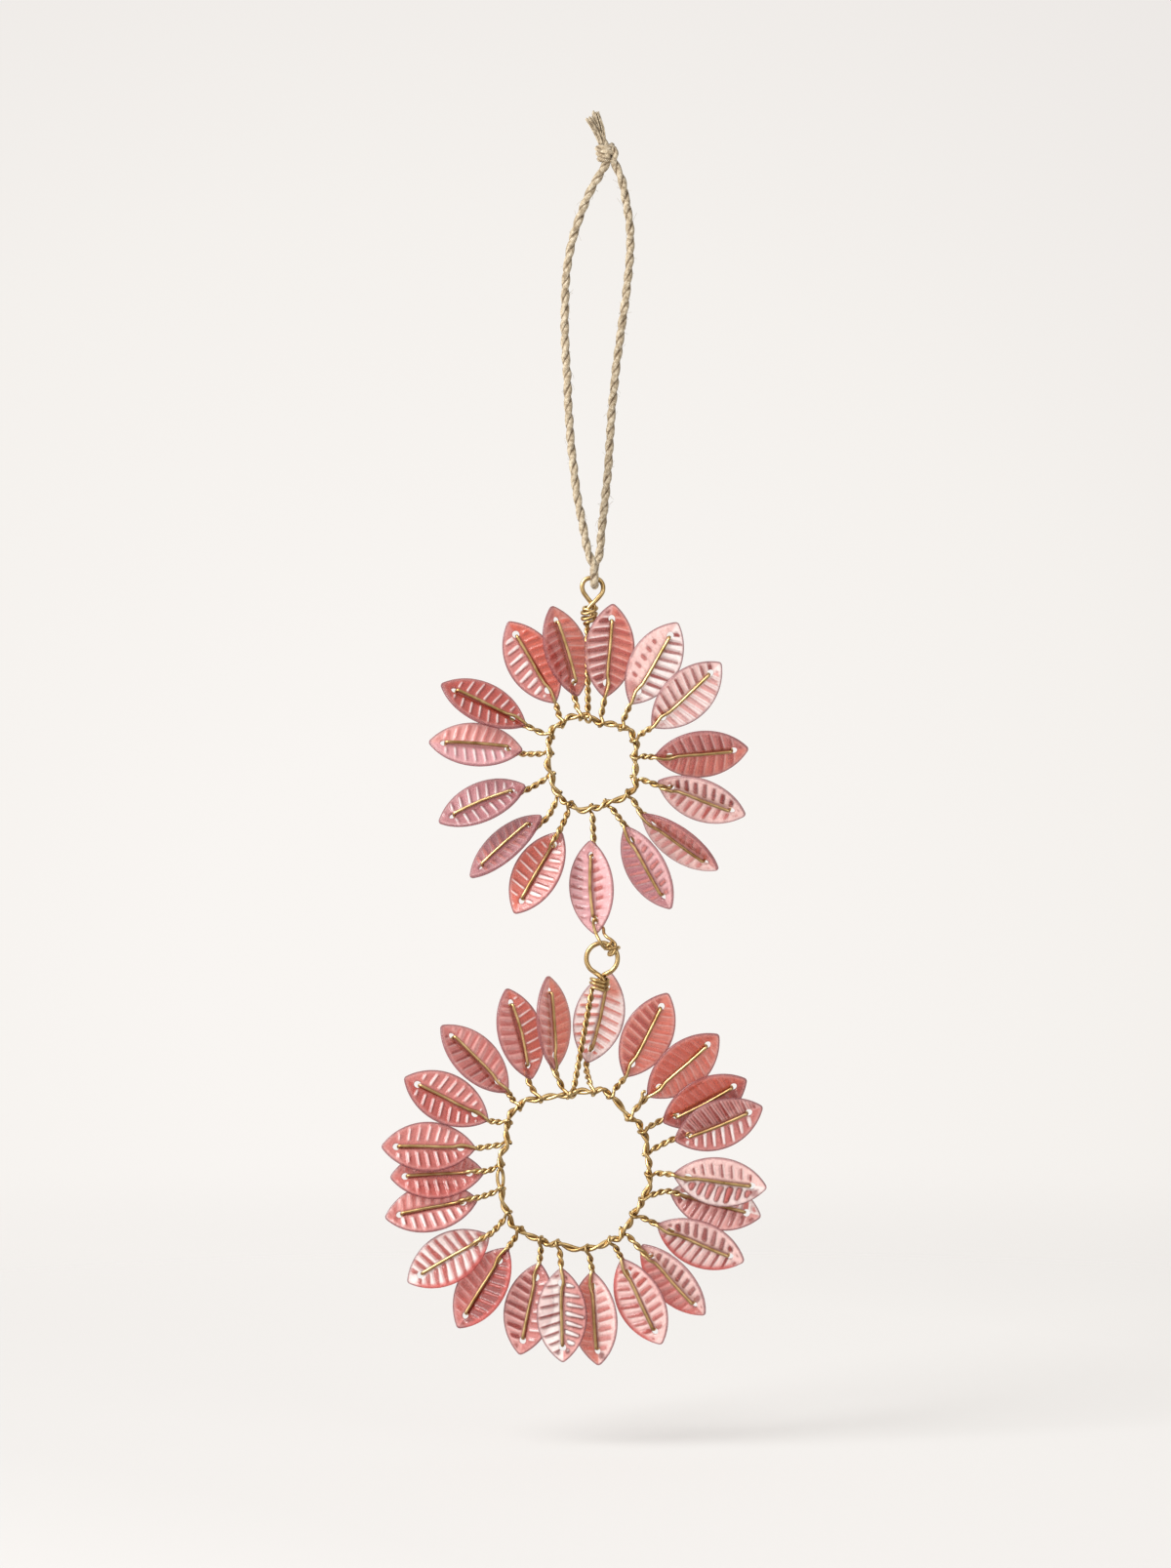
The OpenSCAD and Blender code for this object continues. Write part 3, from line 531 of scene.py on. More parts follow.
class Shape:
    """Points in millimetres, faces and how dark each point is painted, gathered into one mesh."""

    def __init__(self):
        self.points = []
        self.faces = []
        self.shades = []
        self.count = 0

    def add(self, points, faces, shade=1.0):
        self.points.append(points)
        self.faces += [[i + self.count for i in face] for face in faces]
        self.shades.append(np.broadcast_to(shade, len(points)))
        self.count += len(points)

    def tube(self, route, radius, sides=WIRE_SIDES, closed=False, shade=1.0):
        """A tube along a route. Its radius is one number, one per point, or one per point and side."""
        n = len(route)
        up, across = frames(route, closed)
        turn = math.tau * np.arange(sides) / sides
        radius = np.atleast_1d(radius)
        ring = up[:, None] * np.cos(turn)[:, None] + across[:, None] * np.sin(turn)[:, None]
        points = route[:, None] + ring * radius.reshape(len(radius), -1, 1)
        faces = [[i * sides + k, i * sides + (k + 1) % sides,
                  (i + 1) % n * sides + (k + 1) % sides, (i + 1) % n * sides + k]
                 for i in range(n if closed else n - 1) for k in range(sides)]
        if not closed:
            faces += [list(range(sides))[::-1], list(range((n - 1) * sides, n * sides))]
        self.add(points.reshape(-1, 3), faces, shade(points).ravel() if callable(shade) else shade)

    def piece(self, name, body, slot, material, *nodes):
        """The finished piece, riding on its body in place of its CAD nodes."""
        mesh = bpy.data.meshes.new(name)
        mesh.from_pydata((np.vstack(self.points) * MM).tolist(), [], self.faces)
        mesh.shade_smooth()
        mesh.materials.append(material)
        shade = np.concatenate(self.shades)
        if shade.min() < 1:
            layer = mesh.attributes.new("shade", "FLOAT", "POINT")
            layer.data.foreach_set("value", shade.astype(np.float32))
        piece = new_object(name, mesh)
        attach(piece, body)
        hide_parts(*nodes)
        return piece


# Colours and materials
def linear(rgb):
    c = np.asarray(rgb, float) / 255
    return np.where(c <= 0.04045, c / 12.92, ((c + 0.055) / 1.055) ** 2.4)


def colour(rgb):
    return (*linear(rgb), 1.0)


class Nodes:
    """A node tree with short calls to add and link nodes. A node stands for its first output."""

    def __init__(self, tree):
        self.tree = tree
        tree.nodes.clear()

    def add(self, kind, settings=None, **inputs):
        node = self.tree.nodes.new("ShaderNode" + kind)
        for name, value in (settings or {}).items():
            setattr(node, name, value)
        for name, value in inputs.items():
            socket = node.inputs[int(name[1:])] if name[1:].isdigit() else \
                node.inputs[name.replace("_", " ").title().replace("Ior", "IOR")]
            if isinstance(value, bpy.types.Node):
                value = value.outputs[0]
            if isinstance(value, bpy.types.NodeSocket):
                self.tree.links.new(value, socket)
            else:
                socket.default_value = value
        return node

    def ramp(self, factor, stops):
        node = self.add("ValToRGB", i0=factor)
        elements = node.color_ramp.elements
        while len(elements) < len(stops):
            elements.new(0.5)
        for element, (at, value) in zip(elements, stops):
            element.position = at
            element.color = value if np.ndim(value) else (value, value, value, 1)
        return node

    def noise(self, scale, detail):
        place = self.add("TexCoord").outputs["Object"]
        return self.add("TexNoise", i0=place, scale=scale, detail=detail).outputs["Fac"]

    def times(self, tone, by):
        settings = {"data_type": "RGBA", "blend_type": "MULTIPLY"}
        return self.add("Mix", settings, i0=1.0, i6=tone, i7=by).outputs[2]

    def vector(self, operation, a, b=(0, 0, 0)):
        return self.add("VectorMath", {"operation": operation}, i0=a, i1=b).outputs["Value"]

    def either(self, path, *flags):
        """1 where any of these flags of a light path is set."""
        found = path.outputs[flags[0]]
        for flag in flags[1:]:
            found = self.add("Math", {"operation": "MAXIMUM"}, i0=found, i1=path.outputs[flag])
        return found


def new_material(name):
    material = bpy.data.materials.new(name)
    material.use_nodes = True
    return material, Nodes(material.node_tree)


def brass_material():
    """Drawn brass, bright with brown tarnish in patches."""
    material, n = new_material("brass_wire")
    tarnish = n.ramp(n.noise(420, 3), [(0.35, colour((208, 180, 130))), (0.7, colour((162, 128, 78)))])
    rough = n.ramp(n.noise(900, 2), [(0.3, 0.27), (0.75, 0.4)])
    shader = n.add("BsdfPrincipled", base_color=tarnish, metallic=1.0, roughness=rough)
    n.add("OutputMaterial", i0=shader)
    return material


def twine_material():
    """Hemp fibres, straw with browner streaks, with painted shade in the grooves between the plies."""
    material, n = new_material("twine")
    streak = n.ramp(n.noise(1400, 5), [(0.3, colour((126, 108, 84))), (0.5, colour((168, 152, 127))),
                                         (0.75, colour((204, 192, 170)))])
    shade = n.add("Attribute", {"attribute_name": "shade"}).outputs["Fac"]
    # Painted shade: brown deep in the grooves between the plies, by each point's shade attribute
    groove_shade = n.ramp(shade, [(0.0, colour((128, 104, 76))), (0.75, (1, 1, 1, 1))])
    bump = n.add("Bump", strength=0.5, distance=0.00008, height=n.noise(5200, 3))
    shader = n.add("BsdfPrincipled", base_color=n.times(streak, groove_shade), roughness=0.8, sheen_weight=0.2,
                   specular_ior_level=0.25, normal=bump)
    n.add("OutputMaterial", i0=shader)
    return material


def leaf_material(name):
    """Pressed pearly plastic, partly see-through, in the colours of the piece's paint attribute, painted
    light and shade included.
    """
    material, n = new_material(name)
    paint = n.add("Attribute", {"attribute_name": "paint"}).outputs["Color"]
    pearl = n.ramp(n.noise(220, 3), [(0.3, (0.93, 0.9, 0.9, 1)), (0.7, (1.03, 1.03, 1.03, 1))])
    base = n.times(paint, pearl)
    rough = n.ramp(n.noise(700, 3), [(0.3, 0.2), (0.75, 0.36)])
    bump = n.add("Bump", strength=0.05, distance=0.00005, height=n.noise(2600, 3))
    solid = n.add("BsdfPrincipled", base_color=base, roughness=rough, transmission_weight=0.15, ior=1.5,
                  coat_weight=0.3, coat_roughness=0.12, normal=bump)
    tint = n.add("Mix", {"data_type": "RGBA"}, i0=CLEAR_WHITE, i6=base, i7=(1, 1, 1, 1)).outputs[2]
    clear = n.add("BsdfTransparent", color=tint)
    shader = n.add("MixShader", i0=CLEAR_SHARE, i1=solid, i2=clear)
    n.add("OutputMaterial", i0=shader)
    return material


# Camera, lights and floor
def add_camera():
    """A camera straight in front, at the photograph's scale."""
    data = bpy.data.cameras.new("camera")
    data.lens = LENS
    data.sensor_width = SENSOR
    x = (PICTURE[0] / 2 - HANG_PIXEL[0]) * PIXEL
    z = (HANG_PIXEL[1] - PICTURE[1] / 2) * PIXEL
    distance = PICTURE[1] * PIXEL * LENS / SENSOR
    camera = new_object("camera", data)
    camera.location = (x * MM, -distance * MM, z * MM)
    camera.rotation_euler = (math.pi / 2, 0, 0)
    bpy.context.scene.camera = camera


def add_light(name, place, size, power):
    data = bpy.data.lights.new(name, "AREA")
    data.shape = "RECTANGLE"
    data.size, data.size_y = (s * MM for s in size)
    data.energy = power
    light = new_object(name, data)
    light.location = np.array(place) * MM
    toward = Vector(LIGHT_TARGET) - Vector(place)
    light.rotation_euler = toward.to_track_quat("-Z", "Y").to_euler()


def add_floor():
    """A disc that shows the backdrop through and keeps the object's shadow."""
    mesh = bpy.data.meshes.new("floor")
    ring = [(FLOOR_R * math.cos(a), FLOOR_R * math.sin(a), FLOOR_Z)
            for a in np.linspace(0, math.tau, FLOOR_SIDES, endpoint=False)]
    mesh.from_pydata((np.array(ring) * MM).tolist(), [], [list(range(FLOOR_SIDES))])
    material, n = new_material("floor")
    seen = n.either(n.add("LightPath"), "Is Camera Ray", "Is Glossy Ray", "Is Transmission Ray")
    place = n.add("TexCoord").outputs["Object"]
    away = n.add("VectorMath", {"operation": "MULTIPLY"}, i0=place, i1=(1, 1, 0))
    away = n.vector("LENGTH", away)
    shown = n.add("MapRange", {"interpolation_type": "SMOOTHSTEP"}, i0=away, i1=SHADOW_FADE * MM,
                  i2=FLOOR_R * MM, i3=SHADOW_SHOWN, i4=0.0)
    through = n.add("BsdfTransparent")
    key_x, key_y, _ = LAMPS[0][1]
    foot = (key_x * MM, key_y * MM, FLOOR_Z * MM)
    far = n.vector("DISTANCE", place, foot)
    far = n.add("MapRange", i0=far, i1=FLOOR_REACH[0] * MM, i2=FLOOR_REACH[1] * MM)
    shade = n.add("BsdfDiffuse", color=n.ramp(far, FLOOR_TONES))
    pale = n.add("BsdfDiffuse", color=colour(BACKDROP[1]))
    catch = n.add("MixShader", i0=shown, i1=through, i2=shade)
    shader = n.add("MixShader", i0=seen, i1=pale, i2=catch)
    n.add("OutputMaterial", i0=shader)
    mesh.materials.append(material)
    new_object("floor", mesh)


def add_world():
    """A pale backdrop that is seen all round, and a dimmer room in front for the gloss."""
    world = bpy.data.worlds.new("world")
    world.use_nodes = True
    bpy.context.scene.world = world
    n = Nodes(world.node_tree)
    path = n.add("LightPath")
    toward = n.add("TexCoord").outputs["Generated"]
    away = n.vector("DISTANCE", toward, BACKDROP_TOWARD)
    away = n.add("MapRange", i0=away, i1=BACKDROP_REACH[0], i2=BACKDROP_REACH[1])
    tone = n.ramp(away, [(at, colour(rgb)) for at, rgb in zip((0, 0.5, 1), BACKDROP)])
    back = n.add("SeparateXYZ", i0=toward).outputs["Y"]
    back = n.add("MapRange", i0=back, i1=-1.0, i2=1.0)
    lean = n.vector("DOT_PRODUCT", toward, CARD_TOWARD)
    lean = n.add("MapRange", i0=lean, i1=-CARD_REACH, i2=CARD_REACH)
    mirrored = n.add("Mix", {"data_type": "RGBA"}, i0=n.ramp(back, BEHIND), i6=n.ramp(lean, CARD_TONES),
                     i7=colour(BACKDROP[1])).outputs[2]
    shiny = n.either(path, "Is Glossy Ray", "Is Transmission Ray")
    lit = n.add("Background", color=n.ramp(back, ROOM_TONES))
    gloss = n.add("Background", color=mirrored)
    seen = n.add("Background", color=tone)
    shader = n.add("MixShader", i0=shiny, i1=lit, i2=gloss)
    shader = n.add("MixShader", i0=path.outputs["Is Camera Ray"], i1=shader, i2=seen)
    n.add("OutputWorld", i0=shader)


# Twine
def cord_route():
    foot = EYE_AT + [CORD_ASIDE, 0, CORD_BEND - EYE_WIRE_D / 2 - CORD_CLEAR - CORD_D / 2]
    turn = np.radians(np.arange(180, 361, BIGHT_STEP))
    bight = foot + CORD_BEND * np.column_stack([0 * turn, np.cos(turn), np.sin(turn)])
    return spaced(spline(np.vstack([LEFT_LEG, bight, RIGHT_LEG[::-1]]), CORD_STEPS), CORD_STEP)


def plied(shape, route, d, lay):
    """Twine along a route: two plies laid around each other, each with the ridges of its yarns."""
    up, across = frames(route)
    along = running(strides(route))
    yarn = math.tau * np.arange(PLY_SIDES) / PLY_SIDES * YARNS
    for phase in (0, math.pi):
        turn = math.tau * along / lay + phase
        ply = route + PLY_OUT * d * (up * np.cos(turn)[:, None] + across * np.sin(turn)[:, None])
        swell = 1 + PLY_SWELL * np.sin(along * SWELL_RATE + phase)
        ridge = 1 + YARN_RIDGE * np.cos(yarn[None] - YARN_RATE * along[:, None])
        # Each point is painted darker the deeper it lies between the plies: painted shade in the grooves
        shape.tube(ply, PLY_R * d * swell[:, None] * ridge, PLY_SIDES, shade=lambda points: smooth(
            *GROOVE_SHADE, np.linalg.norm(points - route[:, None], axis=2) / d))


def add_knot(material):
    knot = Shape()
    axis = polar(KNOT_LEAN, 1)
    side = np.cross(axis, FRONT)
    u = np.linspace(0, 1, COIL_POINTS)
    turn = math.tau * (COIL_TURNS * u + COIL_FROM)
    rise = COIL_RISE * (u - COIL_LOW) * (1 - COIL_TILT * np.cos(turn))
    coil = np.outer(COIL_WIDE * np.cos(turn), side) + np.outer(COIL_DEEP * np.sin(turn), FRONT)
    plied(knot, spaced(KNOT_AT + np.outer(rise, axis) + coil, KNOT_STEP), COIL_D, COIL_LAY)
    for d, points in KNOT_STRANDS:
        plied(knot, spaced(KNOT_AT + spline(points, BEND_STEPS), KNOT_STEP), d, KNOT_LAY)
    return knot.piece("twine_knot", "cord", "twine", material, "cord_knot")


def add_tails(material, rng):
    tails = Shape()
    for tip, count in TAILS:
        for _ in range(count):
            turn = rng.uniform(0, math.tau)
            place = math.sqrt(rng.random()) * np.array([math.cos(turn), math.sin(turn), 0])
            start = KNOT_AT + TAIL_FOOT + TAIL_FOOT_R * place
            end = tip + TAIL_TIP_R * place + [0, 0, rng.gauss(0, TAIL_CUT)]
            bow = [rng.gauss(TAIL_BOW[0], TAIL_STRAY), rng.gauss(TAIL_BOW[1], TAIL_STRAY), TAIL_BOW[2]]
            fibre = spline([start, mix(start, end, 0.5) + bow, end], TAIL_STEPS)
            radii = np.linspace(*TAIL_FIBRE_R, len(fibre))
            tails.tube(fibre, radii, TAIL_SIDES, shade=rng.uniform(*TAIL_SHADES))
    return tails.piece("twine_tails", "cord", "twine", material, "cord_tails")


def add_fibres(material, route, rng):
    fuzz = Shape()
    for _ in range(FIBRES):
        i = rng.randrange(2, len(route) - 3)
        heading = unit(route[i + 1] - route[i])
        away = unit(np.cross(heading, [rng.gauss(0, 1) for _ in range(3)]))
        size = rng.uniform(*FIBRE_REACH)
        lean = heading * rng.uniform(-1, 1)
        curl = np.cross(heading, away) * rng.uniform(-FIBRE_CURL, FIBRE_CURL)
        points = [route[i] + away * off + (away * out + lean + curl * bend) * far * size
                  for off, far, out, bend in FIBRE_POINTS]
        fuzz.tube(spline(points, 3), FIBRE_R, FIBRE_SIDES, shade=FIBRE_SHADE)
    return fuzz.piece("twine_fibres", "cord", "twine", material)


def add_twine(material):
    rng = random.Random(CORD_SEED)
    route = cord_route()
    shape = Shape()
    plied(shape, route, CORD_D, PLY_LAY)
    cord = shape.piece("twine_loop", "cord", "twine", material, "hanging_cord")
    knot_piece = add_knot(material)
    tail_piece = add_tails(material, rng)
    fuzz_piece = add_fibres(material, route[route[:, 2] > EYE_AT[2] + FIBRE_EYE_GAP], rng)


# Places on a leaf and its hoop
Hoop = namedtuple("Hoop", "name body at r turns leaves")


def new_hoop(name, hung_from, place, r, turns, rows):
    return Hoop(name, name + "_wreath", hung_from + place, r, turns, [Leaf(*row) for row in rows])


def leaf_axes(leaf):
    roll = math.radians(leaf.roll)
    axis = polar(leaf.clock + leaf.lean, 1)
    side = np.array([axis[2] * math.cos(roll), math.sin(roll), -axis[0] * math.cos(roll)])
    return side, axis, np.cross(side, axis)


def on_leaf(hoop, leaf, points):
    """Points given along a leaf's side, length and front, in the part's frame."""
    middle = hoop.at + polar(leaf.clock, hoop.r + leaf.stem + LEAF_L / 2) + [0, leaf.depth, 0]
    return middle + np.asarray(points, float) @ np.array(leaf_axes(leaf))


def root(hoop, i):
    leaf = hoop.leaves[i % len(hoop.leaves)]
    return hoop.at + polar(leaf.root_clock, hoop.r + leaf.root_out)


def hoop_point(hoop, at):
    i = math.floor(at)
    u = at - i
    a, b, c, d = (root(hoop, i + k) for k in (-1, 0, 1, 2))
    bend = (2 * a - 5 * b + 4 * c - d) * u ** 2 + (3 * b - a - 3 * c + d) * u ** 3
    return 0.5 * (2 * b + (c - a) * u + bend)


def hoop_lay(hoop, at):
    return unit(hoop_point(hoop, at + LAY_STEP) - hoop_point(hoop, at - LAY_STEP))


# Wires
def add_wire(name, body, node, material, route, d=WIRE_D, sides=WIRE_SIDES):
    shape = Shape()
    shape.tube(route, d / 2, sides)
    shape.piece(name, body, "brass_wire", material, node)


def stem_turns(axis):
    return max(2, round(2 * length(axis) / STEM_PITCH)) / 2


def stem_strand(axis, front, side):
    """One strand of a twisted stem, turning around its axis from the hoop to the leaf."""
    turns = stem_turns(axis)
    centre = spaced(spline(axis, STEM_STEPS), length(axis) / turns / STEM_POINTS)
    n = len(centre) - 1
    strand = []
    for i, (p, t) in enumerate(zip(centre, np.gradient(centre, axis=0))):
        t = unit(t)
        e = mix(FRONT, front, i / n)
        e = unit(e - t * (e @ t))
        turn = math.tau * turns * (1 - i / n)
        strand.append(p + TWIST_R * side * (e * math.cos(turn) + np.cross(t, e) * math.sin(turn)))
    return strand


def root_turn(start, lay, axis, side):
    """The wire's turn around the inside of the hoop, from one strand of a stem to the other."""
    out = unit((axis[0] - start) * [1, 0, 1])
    facing = (1 if round(2 * stem_turns(axis)) % 2 == 0 else -1) * side
    return [start + lay * TURN_STEP * math.sin(turn) - out * TURN_IN * math.cos(turn)
            + FRONT * facing * TURN_FRONT * math.sin(turn)
            for turn in np.radians(np.arange(TURN_HALF, -TURN_HALF - 1, -TURN_ANGLE))]


def leaf_wire(hoop, i, out_y):
    """A leaf's wire: up the stem, along the midrib, through the outer hole and back behind."""
    leaf = hoop.leaves[i]
    k = leaf.side or 1
    start = root(hoop, i)
    lay = hoop_lay(hoop, i)
    reach = [[0, -LEAF_L / 2 - TIP_BEND, k * STEM_LIFT], [0, -HOLE_Y - BEND_FROM, k * STEM_LIFT]]
    reach = on_leaf(hoop, leaf, reach if leaf.side else [[0, -LEAF_L / 2 - TIP_GAP, 0]])
    axis = np.vstack([[start + unit((reach[0] - start) * [1, 0, 1]) * GRIP_L], reach])
    front = leaf_axes(leaf)[2]
    dip = WIRE_LIFT - BEND_DIP
    around = [[FRONT_BOW, 0, WIRE_LIFT], [0, out_y - BEND_FROM, WIRE_LIFT], [0, out_y - BEND_TO, dip],
              [0, out_y - BEND_IN, 0], [0, out_y - BEND_TO, -dip], [0, out_y - BEND_FROM, -WIRE_LIFT],
              [BACK_BOW, 0, -WIRE_LIFT]]
    if leaf.side:
        aside = WIRE_ASIDE / 2 if i % 3 else -WIRE_ASIDE / 2
        ahead = [[0, -HOLE_Y + BEND_IN, STEM_LIFT + TWIST_R], [0, -HOLE_Y + LANDING, WIRE_LIFT]]
        back = [[aside, -HOLE_Y + BACK_FROM, -WIRE_LIFT], [aside, -HOLE_Y + BEND_DIP, -dip],
                [aside, -HOLE_Y, 0], [aside, -HOLE_Y - BEND_DIP, dip]]
    else:
        aside = leaf.flip * WIRE_ASIDE
        tip_y = -LEAF_L / 2 + TIP_BEND
        ahead = [[0, tip_y, WIRE_LIFT - TIP_DIP], [aside, -HOLE_Y - BEND_IN, WIRE_LIFT],
                 [0, -HOLE_Y + PARTED_LANDING, WIRE_LIFT]]
        back = [[aside, -HOLE_Y - BEND_IN, -WIRE_LIFT], [0, tip_y, TIP_DIP - WIRE_LIFT]]
    run = on_leaf(hoop, leaf, np.array(ahead + around + back) * [1, 1, k])
    turn = root_turn(start, lay, axis, k)
    return np.vstack([turn[::-1][TURN_SPLIT:], stem_strand(axis, front, k), run,
                      stem_strand(axis, front, -k)[::-1], turn[:TURN_SPLIT]])


def add_hoop(hoop, material):
    shape = Shape()
    count = len(hoop.leaves)
    for phase in (0, math.pi):
        strand = []
        for at in np.arange(0, count, 1 / HOOP_STEPS):
            k = int(at)
            u = at - k
            parted = (hoop.name, k) == PARTED
            p = hoop_point(hoop, at)
            out = unit(p - hoop.at)
            bow = math.sin(math.pi * u) ** 2
            sag = HOOP_SAG * (SAG_MEAN + SAG_WAVE * math.sin(k * SAG_RATE))
            p = p + out * (sag * bow - HOOP_IN)
            if parted and phase == 0:
                p = p - out * PARTED_BY * bow
            lay = k + 0.5 + 4 * (u - 0.5) ** 3 if parted else at
            turn = phase + math.tau * hoop.turns * lay / count
            strand.append(p + HOOP_WIRE_D / 2 * (out * math.cos(turn) - FRONT * math.sin(turn)))
        shape.tube(np.array(strand), HOOP_WIRE_D / 2, closed=True)
    shape.piece(hoop.name + "_hoop_strands", hoop.body, "brass_wire", material, hoop.name + "_hoop")


def add_leaf_wires(hoop, material, link_leaf):
    shape = Shape()
    for i in range(len(hoop.leaves)):
        out_y = HOLE_Y - (LINK_WIRE_END if i == link_leaf else WIRE_END)
        shape.tube(spline(leaf_wire(hoop, i, out_y), 2), WIRE_D / 2, closed=True)
    if hoop.name == "lower":
        shape.tube(hoop.at + spline(LOOSE_END, WRAP_STEPS), WIRE_D / 2)
    shape.piece(hoop.name + "_stem_wires", hoop.body, "brass_wire", material, hoop.name + "_leaf_wires")


def add_hanger(hoop, hung_from, step, place, wrap, material):
    """A twisted pair from the hoop, one strand wound around a neck and the other cut off."""
    top = hung_from + place
    start = hoop_point(hoop, step)
    lay = hoop_lay(hoop, step)
    axis = np.array([start + unit((top - start) * [1, 0, 1]) * GRIP_L, top])
    route = np.vstack([[top + HANGER_CUT], stem_strand(axis, FRONT, -1)[::-1],
                       root_turn(start, lay, axis, 1), stem_strand(axis, FRONT, 1)])
    wound = spline(np.vstack([route[-1:], hung_from + wrap]), WRAP_STEPS)
    add_wire(hoop.name + "_hanger_strands", hoop.body, hoop.name + "_hanger_wire", material,
             np.vstack([spline(route, 2)[:-1], wound]))


def add_eye(material):
    route = EYE_AT + spline(EYE, BEND_STEPS)
    add_wire("upper_eye_wire", "upper_wreath", "upper_eye", material, route, EYE_WIRE_D, EYE_SIDES)


def add_ring(ring_at, material):
    loop = [polar(clock, RING_R) for clock in RING_CLOCKS]
    route = ring_at + spline(np.vstack([RING_FRONT, loop, RING_BACK]), BEND_STEPS)
    add_wire("lower_ring_wire", "lower_wreath", "lower_ring", material, route, RING_WIRE_D, RING_SIDES)


def add_link(hoop, ring_at, hole_at, material):
    """Link wire: wound around the ring, up through the bottom leaf's hole and back."""
    def wound(rows):
        return [polar(clock, LINK_TUBE_R + r * math.cos(math.radians(around)))
                + FRONT * r * math.sin(math.radians(around)) for clock, around, r in rows]

    hole = hole_at - ring_at
    front = leaf_axes(hoop.leaves[LINK_LEAF])[2]
    through = [hole + place + front * out for place, out in LINK_THROUGH]
    route = np.vstack([wound(LINK_FRONT_WOUND), LINK_FRONT, through, LINK_BACK, wound(LINK_BACK_WOUND)])
    add_wire("link_wire_strand", "link", "link_wire", material, ring_at + spline(route, WRAP_STEPS))


# Leaf beads
def rim_distance(x, y):
    """Distance inside the outline of a leaf: two arcs with rounded tips."""
    arc = ARC_R - np.hypot(np.abs(x) + ARC_X, y)
    tip = TIP_ROUND - np.hypot(x, np.abs(y) - TIP_Y)
    past = (np.abs(y) > TIP_Y) & (np.abs(x) * (TIP_Y / ARC_X) < np.abs(y) - TIP_Y)
    return np.where(past, tip, arc)


def outline(inset):
    """Points around a leaf, a set distance inside its outline."""
    r = ARC_R - inset
    tip_r = TIP_ROUND - inset
    half = math.asin(TIP_Y / (ARC_R - TIP_ROUND))
    points = []
    for sign in (1, -1):
        for a in np.linspace(-half, half, int(2 * half * r / RIM_STEP), endpoint=False):
            points.append((sign * (r * math.cos(a) - ARC_X), sign * r * math.sin(a)))
        for a in np.linspace(half, math.pi - half, TIP_POINTS, endpoint=False):
            points.append((sign * tip_r * math.cos(a), sign * (TIP_Y + tip_r * math.sin(a))))
    return points


def rib_coordinates(x, y):
    """The nearest rib at each point, the distance across it, and along it from the midrib."""
    away = np.abs(x)
    b = (y + RIB_SWEEP * away) / (1 + RIB_FAN * away)
    i = np.clip(np.round((FIRST_RIB - b) / RIB_PITCH), 0, RIB_COUNT - 1)
    slope = np.hypot(1, RIB_SWEEP - RIB_FAN * b)
    across = (b - FIRST_RIB + i * RIB_PITCH) * (1 + RIB_FAN * away) / slope
    return i.astype(int), across, away * slope


def leaf_sheet(outer_hole_d):
    """One leaf's flat triangles: points along the ribs, loops at the rim and the two holes."""
    loops = [outline(inset) for inset in RIM_INSETS]
    holes = [(HOLE_Y, outer_hole_d / 2), (-HOLE_Y, HOLE_D / 2)]
    points = sum(loops, [])
    edges = []
    for y, r in holes:
        first = len(points)
        for out in (0, HOLE_LIP):
            points += [((r + out) * math.cos(a), y + (r + out) * math.sin(a))
                       for a in np.linspace(0, math.tau, HOLE_POINTS, endpoint=False)]
        edges += [(first + k, first + (k + 1) % HOLE_POINTS) for k in range(HOLE_POINTS)]
    for b in np.arange(-LEAF_L / 2, LEAF_L / 2, RIB_PITCH / RIB_ROWS):
        for a in np.arange(0, LEAF_W / 2, ROW_STEP):
            for x in ((a, -a) if a else (0,)):
                y = b - a * (RIB_SWEEP - RIB_FAN * b)
                clear = min(math.hypot(x, y - hy) - hr for hy, hr in holes)
                if rim_distance(x, y) > RIM_CLEAR and clear > HOLE_CLEAR:
                    points.append((x, y))
    found = delaunay_2d_cdt(points, edges, [list(range(len(loops[0])))], 1, JOIN)
    flat = np.array(found[0])
    faces = []
    for face in found[2]:
        middle = flat[list(face)].mean(0)
        if all(math.hypot(middle[0], middle[1] - y) > r * HOLE_SHARE for y, r in holes):
            faces.append(list(face))
    return flat, faces, holes


def leaf_heights(x, y, holes):
    """Front and back of the pressed sheet at each point."""
    edge = rim_distance(x, y)
    for hole_y, r in holes:
        edge = np.minimum(edge, np.hypot(x, y - hole_y) - r + HOLE_EDGE)
    _, across, along = rib_coordinates(x, y)
    ends = smooth(*RIB_START, along) * smooth(*RIB_STOP, edge)
    rib = RIB_RISE * ends * (1 - np.clip(np.abs(across) / RIB_HALF, 0, 1) ** 2) ** 2
    fold = LEAF_FOLD * (np.hypot(x, FOLD_ROUND) - FOLD_ROUND)
    u = np.clip(edge / EDGE_ROUND, 0, 1)
    half = mix(EDGE_T / 2, LEAF_T / 2, np.sqrt(1 - (1 - u) ** 2))
    return fold + half + rib, fold - half + RIB_BACK * rib


def toned(paint, tone, share):
    return mix(paint, tone, share[:, None])


def fading(start, full, strength, x):
    return strength * smooth(start, full, x)


